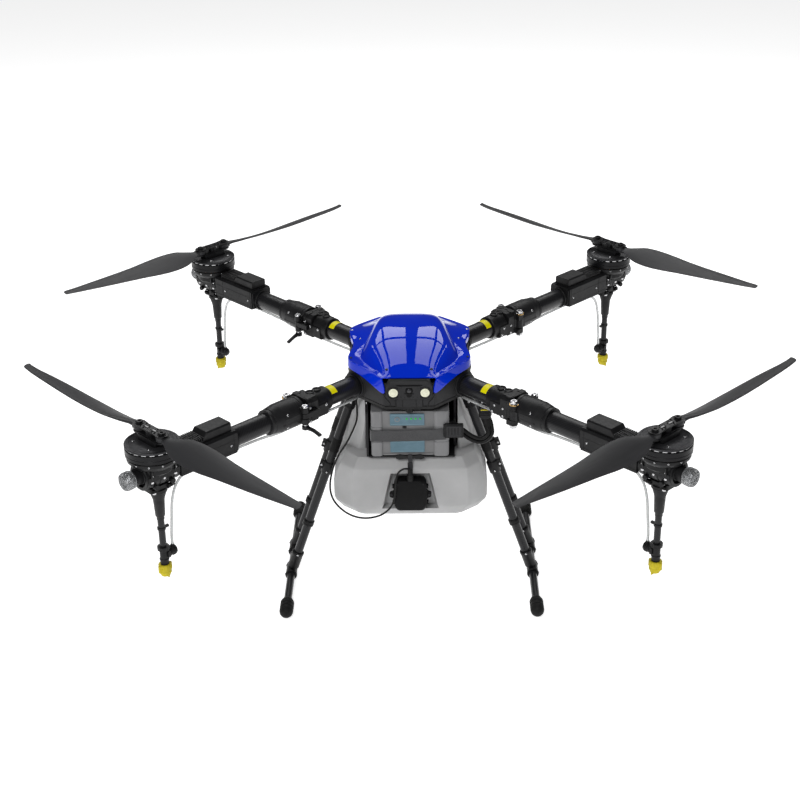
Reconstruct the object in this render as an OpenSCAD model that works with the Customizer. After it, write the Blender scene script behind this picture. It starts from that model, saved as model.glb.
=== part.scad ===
// Agricultural spray drone: four folding arms, a plug-in tank and a slide-in battery.
// Millimetres. +Z is up, -Y is the nose, the origin is on the ground under the body.

/* [Arms] */
// Radius of the circle that the four motors stand on
motor_r = 625; // [610:1:640]
// Height of the arm tubes' axis above the ground
tube_z = 472; // [472:1:474]
// Outer diameter of the arm tubes
tube_d = 38; // [34:1:38]
// Outer diameter of the folding sleeve
sleeve_d = 56; // [54:1:56]
// Distance of the folding hinge pin from the body centre
pin_r = 300; // [300:1:302]

/* [Propellers] */
// Radius of the propeller from hub to tip
prop_r = 384; // [360:1:386]
// Widest chord of a blade
blade_chord = 56; // [50:1:62]
// Blade pitch at the widest chord, in degrees
blade_pitch = 22; // [14:1:23]

/* [Body] */
// Height of the hood's crown above the ground
hood_top = 549; // [544:1:549]
// Half width of the body at its corners
body_half = 117; // [112:1:117]

/* [Landing gear] */
// Half the distance between the two skids
skid_half = 252; // [246:1:258]
// Front end of the skids, ahead of the body centre
skid_front = 206; // [200:1:212]
// Rear end of the skids, behind the body centre
skid_rear = 214; // [206:1:218]

/* [Spraying] */
// Half width of the tank at its widest
tank_half = 152; // [146:0.5:152]
// Height of the nozzle's lowest cap above the ground
nozzle_z = 257; // [250:1:262]

/* [Hidden] */
$fn = 48;

// arms in order: front left, front right, rear left, rear right
FL = 0; FR = 1; RL = 2; RR = 3;
arm_az = [225, 315, 135, 45];
// turning sense of each propeller, alternating round the body
hand = [1, -1, -1, 1];

tr = tube_d / 2;          // arm tube outer radius
sr = sleeve_d / 2;        // folding sleeve radius
pin_s = -25;              // sideways offset of the hinge pin
pin_d = 10;               // hinge pin diameter
fit = 0.06;               // radial running clearance
latch_x = pin_r + 3;      // latch shaft, on the other side of the sleeve
latch_s = 30;
lance_x = motor_r - 3;    // spray lance under the motor
piv = 32;                 // blade pivot offset from the hub
blade_z = 547.5;          // mid height of the blades
bell_r = 48.5;            // motor bell radius
plate_z = 447;            // underside of the bottom plate
nz = nozzle_z;

leg_top = 103;            // half distance between the legs at the body
leg_r = 9;
skid_z = 14;
leg_y = [-50, 41];
leg_a = atan((skid_half - leg_top) / (plate_z + 3 - skid_z));
leg_len = (plate_z - 6 - skid_z) / cos(leg_a);

module at_arm(i) rotate([0, 0, arm_az[i]]) children();
module along_x(x, z = 0, y = 0) translate([x, y, z]) rotate([0, 90, 0]) children();
module along_y(y, x = 0, z = 0) translate([x, y, z]) rotate([-90, 0, 0]) children();
module rod(r, h) cylinder(r = r, h = h, $fn = 64);
module block(a, b) translate(a) cube(b - a);
// an octagon: half sizes hx and hy, corners cut by cx and cy
function oct(hx, hy, cx, cy) = [
  [hx, hy - cy], [hx - cx, hy], [-hx + cx, hy], [-hx, hy - cy],
  [-hx, -hy + cy], [-hx + cx, -hy], [hx - cx, -hy], [hx, -hy + cy]];
module slab(z, pts) translate([0, 0, z]) linear_extrude(height = 0.01) polygon(pts);

// ---- swept cords: a smooth curve through hand-set points, then a round tube ----
function cr(p0, p1, p2, p3, t) = 0.5 * ((2 * p1) + (p2 - p0) * t + (2 * p0 - 5 * p1 + 4 * p2 - p3) * t * t + (3 * p1 - p0 - 3 * p2 + p3) * t * t * t);
function pt(p, i) = p[max(0, min(len(p) - 1, i))];
function smooth(p, n) = concat([for (i = [0:len(p) - 2], k = [0:n - 1]) cr(i == 0 ? 2 * p[0] - p[1] : p[i - 1], p[i], p[i + 1], i == len(p) - 2 ? 2 * p[i + 1] - p[i] : p[i + 2], k / n)], [p[len(p) - 1]]);
function unit(v) = v / norm(v);
function tan_at(c, i) = unit(pt(c, i + 1) - pt(c, i - 1));
// the ring's first direction is carried along the curve, so the tube never twists
function carry(c, i, u) = i >= len(c) ? [] : let (t = tan_at(c, i), v = unit(u - (u * t) * t)) concat([v], carry(c, i + 1, v));
module cord(route, r, start, n = 3, sides = 8) {
  c = smooth(route, n);
  u = carry(c, 0, start);
  m = len(c);
  pts = [for (i = [0:m - 1]) let (t = tan_at(c, i), w = cross(t, u[i])) for (k = [0:sides - 1]) c[i] + r * cos(360 * k / sides) * u[i] + r * sin(360 * k / sides) * w];
  faces = concat(
    [[for (k = [0:sides - 1]) k]],
    [for (i = [0:m - 2], k = [0:sides - 1]) [i * sides + k, (i + 1) * sides + k, (i + 1) * sides + (k + 1) % sides, i * sides + (k + 1) % sides]],
    [[for (k = [sides - 1:-1:0]) (m - 1) * sides + k]]);
  polyhedron(pts, faces, convexity = 4);
}

// ---- centre body ----
module body_outline(inset = 0) polygon(oct(body_half - inset, 159 - inset, body_half - 48 - inset * 0.586, 69 - inset * 0.586));

module centre_frame() color("#1b1b1d") {
  // bottom and top plates
  translate([0, 0, plate_z]) linear_extrude(height = 3) body_outline();
  translate([0, 0, 494]) linear_extrude(height = 2.5) body_outline(4);
  // clamps that hold the arm tubes between the plates, and the collars outside the shell
  for (i = [FL:RR]) at_arm(i) {
    difference() {
      block([110, -21.5, plate_z + 3], [134, 21.5, 494]);
      along_x(100, tube_z) rod(tr, 50);
    }
    difference() {
      along_x(147.5, tube_z) rod(tr + 4, 9);
      along_x(140, tube_z) rod(tr, 40);
    }
  }
}

module inner_tubes() color("#202022")
  for (i = [FL:RR]) at_arm(i) difference() {
    along_x(112, tube_z) rod(tr, 168);
    along_x(100, tube_z) rod(tr - 2, 190);
  }

// fixed half of each folding hinge
module hinge_blocks() color("#161617")
  for (i = [FL:RR]) at_arm(i) difference() {
    union() {
      along_x(226, tube_z) rod(tr + 5, pin_r - 9 - 226);
      block([240, -26, tube_z - 22], [pin_r - 9, 26, tube_z + 5]);
      block([pin_r - 31, -26, tube_z - 24], [pin_r - 9, 26, tube_z + 26]);
      // spigot that closes the gap to the sleeve
      difference() {
        along_x(pin_r - 10, tube_z) rod(20, 6.3);
        translate([pin_r, pin_s, 400]) rod(10.5, 120);
      }
      // two lugs for the hinge pin
      for (z = [tube_z + 6, tube_z - 25]) {
        translate([pin_r, pin_s, z]) rod(8.5, 11);
        block([pin_r - 9.2, pin_s - 8.5, z], [pin_r, pin_s + 8.5, z + 11]);
      }
      // tooth that the latch hooks behind
      block([276, 25, tube_z - 6], [281, 31, tube_z + 6]);
    }
    along_x(220, tube_z) rod(tr, 60);
    along_x(270, tube_z) rod(11, 60);
    translate([pin_r, pin_s, 400]) rod(pin_d / 2, 120);
  }

module hinge_pins() color("#c8c8c8")
  for (i = [FL:RR]) at_arm(i) translate([pin_r, pin_s, 0]) {
    translate([0, 0, tube_z - 28]) rod(pin_d / 2, 48);
    // washer, bolt head and lower nut
    translate([0, 0, tube_z + 17]) rod(9.5, 1.8);
    translate([0, 0, tube_z + 18.8]) cylinder(r = 8, h = 6, $fn = 6);
    translate([0, 0, tube_z - 31]) cylinder(r = 8, h = 6, $fn = 6);
  }

module lower_shell() color("#19191b") difference() {
  translate([0, 0, plate_z + 3]) linear_extrude(height = 50) difference() {
    body_outline();
    body_outline(3);
  }
  for (i = [FL:RR]) at_arm(i) along_x(130, tube_z) rod(tr + 0.4, 40);
}

module nose_module() color("#2a2a2d") difference() {
  union() {
    block([-45, -170, plate_z + 5], [45, -159, 512]);
    block([-52, -164, plate_z + 3], [52, -159, plate_z + 24]);
  }
  for (x = [-30, 30]) along_y(-172, x, 484) rod(9.2, 9);
  along_y(-172, 0, 488) rod(8.2, 9);
}

// headlights and camera lens
module headlights() {
  color("#f1f0dd") for (x = [-30, 30]) along_y(-171.5, x, 484) rod(9, 8.5);
  color("#0c0c0e") along_y(-171, 0, 488) rod(8, 8);
}

// hood: outer corner points for the right half; the inner skin is the same, moved in
hood_pts = [
  [50, -164, 513], [94, -119, 526], [120, -92, 516], [121, -92, 502], [50, -164, 502],
  [98, -65, 530], [60, -60, 543], [69, 45, 536], [63, 0, hood_top], [62, 40, hood_top - 1], [66, 80, 537],
  [90, 60, 526], [121, 90, 502], [118, 90, 512], [62, 150, 503], [64, 120, 520]];
module hood_solid(k, dz, low) hull() for (p = hood_pts, s = [-1, 1])
  translate([s * p[0] * k, p[1] * k, (p[2] < 503.5 ? low : p[2] + dz)]) cube(0.02, center = true);
module hood() color("#1438e0") {
  difference() {
    hood_solid(1, 0, 500.5);
    hood_solid(0.976, -2.6, 490);
    // opening for the nose module
    block([-45.4, -180, 400], [45.4, -150, 512.4]);
  }
  // pointed skirts that run down beside the nose
  for (s = [-1, 1]) hull() for (p = [[48, -160.5, 480], [48, -163.5, 480], [50, -163.8, 502.5], [50, -160.5, 502.5], [90, -124, 502.5], [88, -122.5, 502.5]])
    translate([s * p[0], p[1], p[2]]) cube(0.2, center = true);
}

// ---- electronics under the hood ----
module avionics() color("#34343a") {
  // flight controller and power board
  block([-28, -60, plate_z + 3], [28, 20, plate_z + 27]);
  block([-45, 30, plate_z + 3], [45, 80, plate_z + 13]);
  // satellite receiver on the top plate
  translate([0, -10, 496.5]) rod(26, 14);
}

module water_pump() color("#2b2b2b") {
  block([-34, 95, plate_z + 3], [10, 135, plate_z + 37]);
  along_x(10, plate_z + 20, 115) rod(15, 26);
}

// ---- battery bay ----
module battery_cage() color("#101011") {
  // side plates, floor, back and front catch
  block([-83, -140, 332], [-80, 44, plate_z]);
  block([87, -98, 332], [90, 44, plate_z]);
  block([-80, -146, 333], [87, 44, 336.5]);
  block([-80, 41, 336.5], [87, 44, plate_z]);
  block([-26, -151, 325], [30, -147.4, 336.5]);
  block([-26, -148, 333], [30, -145.5, 336.5]);
}

module battery_pack() color("#7f8084") {
  block([-70, -146, 337], [72, 40, 435]);
  // raised end blocks with rounded backs
  block([-75, -150, 337], [-53, 36, 435]);
  block([46, -150, 337], [76, 36, 435]);
}

module battery_strap() color("#4a4a4d") {
  block([-77.2, -152.2, 372], [70, -150.2, 396]);
  block([-77.2, -152.2, 372], [-75.2, -40, 396]);
  // buckle
  block([66, -160, 381], [104, -150.2, 411]);
}

lead_route = [[80, -118, 392], [100, -124, 380], [122, -130, 366], [142, -130, 362], [156, -126, 374], [154, -120, 392], [148, -116, 408]];
module battery_lead() color("#121214") {
  cord(lead_route, 7, [0, 1, 0], 3, 10);
  // strain relief and plug
  block([76, -126, 384], [81, -110, 400]);
  block([134, -126, 408], [158, -104, 431]);
}

module power_socket() color("#141414") {
  block([135, -125, 431.5], [157, -105, 446]);
  block([141, -106, 438], [150, -78, 446]);
  block([104, -86, 438], [150, -78, 446]);
  block([104, -86, 444], [113, -78, plate_z]);
}

// ---- tank ----
// levels: height, half sizes and corner cuts
module tank_low(t) hull() {
  slab(196 + t, oct(118 - t, 133 - t, 26, 26));
  slab(206 + t / 2, oct(134 - t, 140.5 - t, 32, 27));
  slab(226, oct(149 - t, 150 - t, 37, 30));
  slab(234, oct(tank_half - t, 150 - t, 38, 30));
  slab(272, oct(tank_half - t, 150 - t, 38, 30));
  slab(310 - t / 2, oct(138 - t, 150 - t, 27, 29));
  translate([0, 4, 0]) slab(330 - t, oct(126 - t, 140 - t, 25, 26));
}
module tank_high(t) hull() {
  translate([0, 10, 0]) slab(312, oct(125 - t, 114 - t, 26, 26));
  translate([0, 10, 0]) slab(330 - t, oct(126 - t, 114 - t, 26, 26));
  translate([0, 10, 0]) slab(436 - t, oct(92 - t, 110 - t, 22, 22));
}
module tank_room(g) {
  // battery bay
  block([-86 - g, -170, 330 - g], [93 + g, 47 + g, 460]);
  // rear step behind the bay, where the filler stands
  block([-150, 92 - g, 330 - g], [150, 170, 460]);
}
module radar_recess(g) hull() {
  translate([0, -128 + g, 0]) rotate([90, 0, 0]) linear_extrude(height = 40) polygon([[-56 - g, 219 - g], [-38 - g, 299 + g], [38 + g, 299 + g], [56 + g, 219 - g]]);
}
module tank() color("#b4b5b8") difference() {
  union() {
    difference() {
      union() { tank_low(0); tank_high(0); }
      tank_room(0);
      radar_recess(0);
    }
    translate([0, 118, 328]) rod(19, 10);
  }
  difference() {
    union() { tank_low(3.2); tank_high(3.2); }
    tank_room(3.2);
    radar_recess(3.2);
  }
  // filler bore
  translate([0, 118, 300]) rod(15, 60);
}

module tank_cap() color("#18181a") difference() {
  translate([0, 118, 331]) rod(23, 12);
  translate([0, 118, 330]) rod(19 + fit, 8.4);
}

// ---- forward radar ----
radar_pts = [[-33, 250], [-41, 257], [-33, 264], [-32, 278], [-24, 290], [24, 290], [32, 278], [33, 264], [41, 257], [33, 250], [32, 234], [24, 222], [-24, 222], [-32, 234]];
module radar_unit() color("#0d0d0e") {
  translate([0, -140, 0]) rotate([90, 0, 0]) linear_extrude(height = 24) polygon(radar_pts);
  // cable gland on top
  translate([0, -158, 289]) rod(5, 20);
  // bracket up to the battery bay's front catch
  block([-5, -152.3, 288], [5, -150.5, 325]);
}

radar_route = [[0, -158, 308], [-3, -158, 314], [-14, -159, 314], [-24, -161, 306], [-28, -164, 290], [-29, -166, 274], [-31, -167, 256], [-38, -167, 235], [-52, -165, 219], [-68, -163, 210], [-90, -160, 205], [-112, -156, 207], [-132, -149, 215], [-149, -139, 228], [-158, -127, 242], [-160, -114, 258], [-156, -108, 280], [-149, -107, 302], [-139, -109, 324], [-126, -112, 346], [-115, -111, 368], [-104, -107, 396], [-103, -98, 420], [-106, -86, 438], [-108, -78, 449]];
module radar_cable() color("#0a0a0a") cord(radar_route, 2, [0, 1, 0], 4, 8);

// ---- landing gear ----
module at_leg(s, y) translate([s * skid_half, y, skid_z]) rotate([0, -s * leg_a, 0]) children();
module leg_tubes() color("#1d1d1f")
  for (s = [-1, 1], y = leg_y) at_leg(s, y) difference() {
    translate([0, 0, 12]) rod(leg_r, leg_len - 12);
    translate([0, 0, 0]) rod(leg_r - 1.5, leg_len + 20);
  }
module leg_fittings() color("#121213")
  for (s = [-1, 1], y = leg_y) {
    // tee at the skid
    difference() {
      union() {
        along_y(y - 20, s * skid_half, skid_z) rod(12, 40);
        at_leg(s, y) rod(12.5, 50);
      }
      along_y(y - 30, s * skid_half, skid_z) rod(8, 60);
      at_leg(s, y) translate([0, 0, 12]) rod(leg_r, 60);
      block([-400, -300, -50], [400, 300, 0.5]);
    }
    // middle ring, upper clamp and body socket
    for (q = [[118, 12, 11.5], [256, 18, 11.5]]) at_leg(s, y) difference() {
      translate([0, 0, q[0]]) rod(q[2], q[1]);
      translate([0, 0, q[0] - 1]) rod(leg_r, q[1] + 2);
    }
    at_leg(s, y) difference() {
      translate([s * 14 - 4, -5, 258]) cube([8, 10, 14]);
      translate([0, 0, 250]) rod(leg_r, 30);
    }
    // socket with a foot plate under the body
    difference() {
      union() {
        at_leg(s, y) translate([0, 0, 404]) rod(11.5, 60);
        block([min(s * 90, s * 124), y - 15, plate_z - 7], [max(s * 90, s * 124), y + 15, plate_z]);
      }
      at_leg(s, y) translate([0, 0, 390]) rod(leg_r, leg_len - 390);
      block([-300, -200, plate_z], [300, 200, plate_z + 60]);
    }
  }

module skid_tubes() color("#1d1d1f")
  for (s = [-1, 1]) difference() {
    along_y(-skid_front, s * skid_half, skid_z) rod(8, skid_front + skid_rear);
    along_y(-skid_front - 5, s * skid_half, skid_z) rod(6.5, skid_front + skid_rear + 10);
  }

module skid_cap() difference() {
  union() {
    translate([0, 0, 8]) rod(14, 30);
    translate([0, 0, 8]) sphere(r = 14, $fn = 48);
    translate([0, 0, 38]) cylinder(r1 = 14, r2 = 10.5, h = 8, $fn = 64);
  }
  translate([0, 0, 4]) rod(8, 60);
  for (z = [12, 24]) translate([0, 0, z]) difference() { rod(20, 2.5); rod(12.4, 2.5); }
}
module skid_caps() color("#0e0e0e") for (s = [-1, 1]) {
  translate([s * skid_half, -skid_front - 4, skid_z]) rotate([-90, 0, 0]) skid_cap();
  translate([s * skid_half, skid_rear + 4, skid_z]) rotate([90, 0, 0]) skid_cap();
}

// ---- folding arm: sleeve and outer tube ----
module arm(i) color("#1c1c1e") at_arm(i) {
  difference() {
    union() {
      along_x(pin_r - 3, tube_z) rod(sr, 53);
      along_x(pin_r + 50, tube_z) cylinder(r1 = sr, r2 = sr - 3, h = 16, $fn = 64);
      along_x(pin_r + 66, tube_z) rod(sr - 5, 5);
      // middle lug on the hinge pin
      translate([pin_r, pin_s, tube_z - 13.5]) rod(8, 19);
      block([pin_r, pin_s - 5, tube_z - 13.5], [pin_r + 14, pin_s + 8, tube_z + 5.5]);
      // ears for the latch shaft
      for (z = [tube_z - 17, tube_z + 6]) {
        translate([latch_x, latch_s, z]) rod(7, 11);
        block([pin_r - 3, 14, z], [pin_r + 10, latch_s, z + 11]);
      }
    }
    // room for the fixed lugs over the whole fold
    translate([pin_r, pin_s, tube_z + 5.5]) rod(12.9, 30);
    translate([pin_r, pin_s, tube_z - 30]) rod(12.9, 16.5);
    translate([pin_r, pin_s, 400]) rod(pin_d / 2 + fit, 120);
    // latch shaft and hook pocket
    translate([latch_x, latch_s, 400]) rod(4 + fit, 120);
    translate([latch_x, latch_s, tube_z - 6]) rod(7.6, 12);
    along_x(pin_r - 10, tube_z) rod(11, 40);
    along_x(pin_r + 16, tube_z) rod(tr, 80);
  }
  difference() {
    along_x(pin_r + 16, tube_z) rod(tr, motor_r + 28 - pin_r - 16);
    along_x(pin_r, tube_z) rod(tr - 2, 500);
  }
}

// ---- latch lever: shaft, hook over the fixed block, bent handle ----
module latch(i) color("#141415") at_arm(i) {
  translate([latch_x, latch_s, tube_z - 28]) rod(4, 46);
  translate([latch_x, latch_s, tube_z + 17.4]) rod(6.5, 4);
  translate([latch_x, latch_s, tube_z - 5]) rod(6.5, 10);
  difference() {
    union() {
      block([270, 32, tube_z - 5], [latch_x, 36.3, tube_z + 5]);
      block([270, 27, tube_z - 5], [275, 33, tube_z + 5]);
    }
    translate([latch_x, latch_s, tube_z - 6]) rod(6, 12);
  }
  translate([0, 0, tube_z - 28]) {
    hull() { translate([latch_x, latch_s, 0]) rod(6, 7); translate([latch_x - 3, latch_s + 20, -1]) rod(5, 6); }
    hull() { translate([latch_x - 3, latch_s + 20, -1]) rod(5, 6); translate([latch_x - 5, latch_s + 33, -6]) rod(4.5, 5); }
  }
}

// ---- motor pod: speed-controller box, saddle, stator and lamp ----
module pod(i) color("#18181a") at_arm(i) {
  x0 = motor_r - 167;
  difference() {
    union() {
      block([x0, -27, tube_z - 17], [motor_r - 38, 27, tube_z + 26]);
      block([x0 + 8, -19, tube_z + 25], [x0 + 64, 19, tube_z + 46]);
      block([x0 + 60, -19, tube_z + 25], [x0 + 116, 19, tube_z + 31]);
      for (k = [0:10]) block([x0 + 66 + k * 4.6, -19, tube_z + 30], [x0 + 68 + k * 4.6, 19, tube_z + 36]);
      // saddle
      block([motor_r - 38, -27, tube_z - 25], [motor_r + 34, 27, tube_z + 12]);
      translate([motor_r, 0, tube_z + 5]) rod(36, 14);
    }
    along_x(x0 - 10, tube_z) rod(tr, 400);
  }
  // stator
  difference() {
    union() {
      translate([motor_r, 0, tube_z + 19]) cylinder(r1 = 40, r2 = 46.5, h = 8, $fn = 64);
      translate([motor_r, 0, tube_z + 27]) rod(46.5, 6.5);
      translate([motor_r, 0, tube_z + 33]) rod(43, 14);
    }
    translate([motor_r, 0, tube_z + 18]) rod(5 + fit, 40);
  }
  // tail lamp
  along_x(motor_r + 34, tube_z + 2) rod(15, 14);
  along_x(motor_r + 48, tube_z + 2) rod(17, 20);
}

// ---- spray lance ----
module lance(i) color("#161618") at_arm(i) translate([lance_x, 0, 0]) {
  block([-30, -18, tube_z - 35], [26, 18, tube_z - 25]);
  translate([0, 0, 414]) cylinder(r1 = 8.5, r2 = 17, h = tube_z - 35 - 414, $fn = 64);
  translate([0, 0, 380]) rod(8.5, 35);
  translate([0, 0, 317]) rod(6.2, 64);
  translate([0, 0, 309]) rod(10.5, 9);
  translate([0, 0, nz + 32]) rod(8.5, 309 - nz - 31);
  translate([0, 0, nz + 7]) rod(8, 26);
  // check valve to the side, with the hose nipple on top
  translate([-27, 0, 301]) rotate([0, 90, 0]) rod(6, 24);
  translate([-20, 0, 301]) rod(4.2, 12);
}

hose_low = tube_z - 31.5;
// from the hinge, under the arm and down beside the lance to the valve
function hose_route() = [[pin_r + 0.2, 0, hose_low], [348, 0, hose_low - 0.2], [376, 0, hose_low + 3], [420, 0, hose_low + 5], [500, 0, hose_low + 6], [556, 0, hose_low + 4], [582, 0, hose_low - 12], [594, 0, 400], [599, 0, 360], [602, 0, 330], [lance_x - 20, 0, 313]];
module hose(i) color("#d8dcdc") at_arm(i) cord(hose_route(), 2.6, [0, 1, 0], 2, 8);

module feed_hoses() color("#d8dcdc") for (i = [FL:RR]) at_arm(i)
  cord([[134, 0, plate_z + 2], [142, 0, plate_z - 4], [170, 0, hose_low + 1], [220, 0, hose_low], [260, 0, hose_low], [pin_r - 0.3, 0, hose_low]], 2.6, [0, 1, 0], 3, 8);

module nozzle(i) color("#c9b81e") at_arm(i) translate([lance_x, 0, nz]) difference() {
  union() {
    rod(9, 5);
    translate([0, 0, 4]) rod(11.5, 20);
    block([-1.2, -11, -3], [1.2, 0, 5]);
    for (a = [0, 180]) rotate([0, 0, a]) block([10, -3, 8], [14, 3, 22]);
  }
  translate([0, 0, 6.7]) rod(8 + fit, 20);
}

// ---- rotor: bell, cap, hub and blade clamp ----
module rotor(i) color("#1a1a1c") at_arm(i) translate([motor_r, 0, 0]) {
  difference() {
    union() {
      translate([0, 0, 508]) rod(bell_r, 16);
      translate([0, 0, 523]) rod(45.5, 4);
      translate([0, 0, 526]) rod(bell_r, 4);
    }
    translate([0, 0, 507]) rod(44.6, 13.8);
  }
  translate([0, 0, tube_z + 22]) rod(5, 530 - tube_z - 22);
  translate([0, 0, 529]) rod(15, 12);
  // clamp plates and the post between them
  for (z = [540, 552]) difference() {
    union() {
      block([-12, -piv, z], [12, piv, z + 3]);
      for (y = [-piv, piv]) translate([0, y, z]) rod(12, 3);
    }
    if (z > 545) for (y = [-19, 8]) block([-2.2, y, z - 1], [2.2, y + 11, z + 4]);
  }
  translate([0, 0, 540]) rod(9, 14);
  for (y = [-piv, piv]) {
    translate([0, y, 541]) rod(4, 15);
    translate([0, y, 555]) rod(6.5, 4);
  }
}

// ---- blade: stations along the span [distance, chord, centre, pitch, thickness, rise] ----
function stations() = let (c = blade_chord, L = prop_r - piv, a = blade_pitch) [
  [9, 17, 0, 0, 8, 0], [22, c * 0.4, -2, a * 0.35, 7.6, 0], [38, c * 0.72, -0.4, a * 0.84, 7, -1.4], [54, c * 0.9, 1.6, a, 6.6, -2.2],
  [82, c, 3.2, a * 1.01, 6, -3.2], [104, c * 0.98, 3.8, a * 0.97, 5.8, -3.4], [168, c * 0.81, 4.9, a * 0.72, 5, -2.6], [248, c * 0.61, 5.6, a * 0.5, 4, 0],
  [318, c * 0.39, 7, a * 0.31, 3, 2.5], [L - 9, c * 0.32, 6.6, a * 0.28, 2.4, 4.4], [L - 3, c * 0.27, 5, a * 0.28, 2, 4.9], [L, c * 0.14, 1.4, a * 0.28, 1.4, 5.1]];
profile = [[-0.5, 0], [-0.4, -0.34], [-0.2, -0.5], [0.1, -0.34], [0.35, -0.2], [0.5, 0], [0.35, 0.24], [0.1, 0.44], [-0.2, 0.5], [-0.4, 0.34]];
module blade_skin() {
  st = stations();
  n = len(profile);
  m = len(st);
  pts = [for (s = st, p = profile) let (v = p[0] * s[1], w = p[1] * s[4]) [s[2] + v * cos(s[3]) + w * sin(s[3]), s[0], s[5] - v * sin(s[3]) + w * cos(s[3])]];
  faces = concat(
    [[for (k = [n - 1:-1:0]) k]],
    [for (i = [0:m - 2], k = [0:n - 1]) each [[i * n + k, i * n + (k + 1) % n, (i + 1) * n + (k + 1) % n], [i * n + k, (i + 1) * n + (k + 1) % n, (i + 1) * n + k]]],
    [[for (k = [0:n - 1]) (m - 1) * n + k]]);
  polyhedron(pts, faces, convexity = 4);
}
// side 1 points to +Y of the arm, side -1 is the same blade turned half round
module blade(i, side) color("#2c2c2e") at_arm(i) translate([motor_r, 0, blade_z]) mirror([0, hand[i] < 0 ? 1 : 0, 0]) rotate([0, 0, side * hand[i] > 0 ? 0 : 180]) translate([0, piv, 0]) difference() {
  union() {
    translate([0, 0, -4.2]) rod(11, 8.4);
    blade_skin();
  }
  translate([0, 0, -20]) rod(4 + fit, 40);
  // the root stays between the clamp plates
  for (z = [-24.2, 4.2]) translate([0, 0, z]) rod(14, 20);
}

centre_frame();
inner_tubes();
hinge_blocks();
hinge_pins();
lower_shell();
nose_module();
headlights();
hood();
battery_cage();
leg_tubes();
leg_fittings();
skid_tubes();
skid_caps();
radar_unit();
radar_cable();
avionics();
water_pump();
feed_hoses();
power_socket();
battery_pack();
battery_strap();
battery_lead();
tank();
tank_cap();
arm(FL);  // arm_fl
arm(FR);  // arm_fr
arm(RL);  // arm_rl
arm(RR);  // arm_rr
pod(FL);  // pod_fl
pod(FR);  // pod_fr
pod(RL);  // pod_rl
pod(RR);  // pod_rr
lance(FL);  // lance_fl
lance(FR);  // lance_fr
lance(RL);  // lance_rl
lance(RR);  // lance_rr
hose(FL);  // hose_fl
hose(FR);  // hose_fr
hose(RL);  // hose_rl
hose(RR);  // hose_rr
nozzle(FL);  // nozzle_fl
nozzle(FR);  // nozzle_fr
nozzle(RL);  // nozzle_rl
nozzle(RR);  // nozzle_rr
rotor(FL);  // rotor_fl
rotor(FR);  // rotor_fr
rotor(RL);  // rotor_rl
rotor(RR);  // rotor_rr
blade(FL, 1);  // blade_a_fl
blade(FR, 1);  // blade_a_fr
blade(RL, 1);  // blade_a_rl
blade(RR, 1);  // blade_a_rr
blade(FL, -1);  // blade_b_fl
blade(FR, -1);  // blade_b_fr
blade(RL, -1);  // blade_b_rl
blade(RR, -1);  // blade_b_rr
latch(FL);  // latch_fl
latch(FR);  // latch_fr
latch(RL);  // latch_rl
latch(RR);  // latch_rr
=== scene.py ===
import bpy, bmesh, math
import numpy as np
from mathutils import Matrix, Vector


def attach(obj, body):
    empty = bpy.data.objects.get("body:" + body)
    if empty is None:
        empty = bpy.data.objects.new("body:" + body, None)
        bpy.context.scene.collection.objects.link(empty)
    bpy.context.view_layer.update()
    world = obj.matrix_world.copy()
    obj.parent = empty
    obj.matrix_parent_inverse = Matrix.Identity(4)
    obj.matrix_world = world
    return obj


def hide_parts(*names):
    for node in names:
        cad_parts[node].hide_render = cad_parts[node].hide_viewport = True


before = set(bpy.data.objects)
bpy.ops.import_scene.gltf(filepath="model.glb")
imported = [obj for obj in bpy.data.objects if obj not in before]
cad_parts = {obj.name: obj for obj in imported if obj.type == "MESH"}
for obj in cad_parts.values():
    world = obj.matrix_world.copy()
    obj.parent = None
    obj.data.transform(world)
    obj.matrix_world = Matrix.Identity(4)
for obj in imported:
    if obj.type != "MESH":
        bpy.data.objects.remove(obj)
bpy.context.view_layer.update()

SCN = bpy.context.scene
MM = 0.001
ARMS = ["fl", "fr", "rl", "rr"]
AZ = {"fl": 225, "fr": 315, "rl": 135, "rr": 45}
HAND = {"fl": 1, "fr": -1, "rl": -1, "rr": 1}

# ------------------------------------------------------------------ camera
def make_camera():
    pitch, yaw, roll = (math.radians(a) for a in (26.4387, -0.9874, -0.8882))
    fwd = Vector((math.sin(yaw) * math.cos(pitch), math.cos(yaw) * math.cos(pitch), -math.sin(pitch)))
    right0 = Vector((math.cos(yaw), -math.sin(yaw), 0))
    up0 = right0.cross(fwd)
    right = math.cos(roll) * right0 + math.sin(roll) * up0
    up = -math.sin(roll) * right0 + math.cos(roll) * up0
    data = bpy.data.cameras.new("camera")
    data.sensor_width = 36.0
    data.lens = 1543.9 / 800 * 36
    data.clip_start, data.clip_end = 0.05, 100
    cam = bpy.data.objects.new("camera", data)
    SCN.collection.objects.link(cam)
    m = Matrix((right, up, -fwd)).transposed().to_4x4()
    m.translation = Vector((27.7, -2789.0, 1772.7)) * MM
    cam.matrix_world = m
    SCN.camera = cam
make_camera()

# ------------------------------------------------------------------ materials
def nodes_of(name):
    m = bpy.data.materials.new(name)
    m.use_nodes = True
    nt = m.node_tree
    return m, nt, nt.nodes["Principled BSDF"]

def noise(nt, vec, scale, detail=3, rough=0.55):
    n = nt.nodes.new("ShaderNodeTexNoise")
    n.inputs["Scale"].default_value = scale
    n.inputs["Detail"].default_value = detail
    n.inputs["Roughness"].default_value = rough
    if vec is not None:
        nt.links.new(vec, n.inputs["Vector"])
    return n

def ramp(nt, fac, stops):
    r = nt.nodes.new("ShaderNodeValToRGB")
    while len(r.color_ramp.elements) < len(stops):
        r.color_ramp.elements.new(0.5)
    for e, (p, c) in zip(r.color_ramp.elements, stops):
        e.position = p
        e.color = (*c, 1) if len(c) == 3 else c
    nt.links.new(fac, r.inputs["Fac"])
    return r

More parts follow.
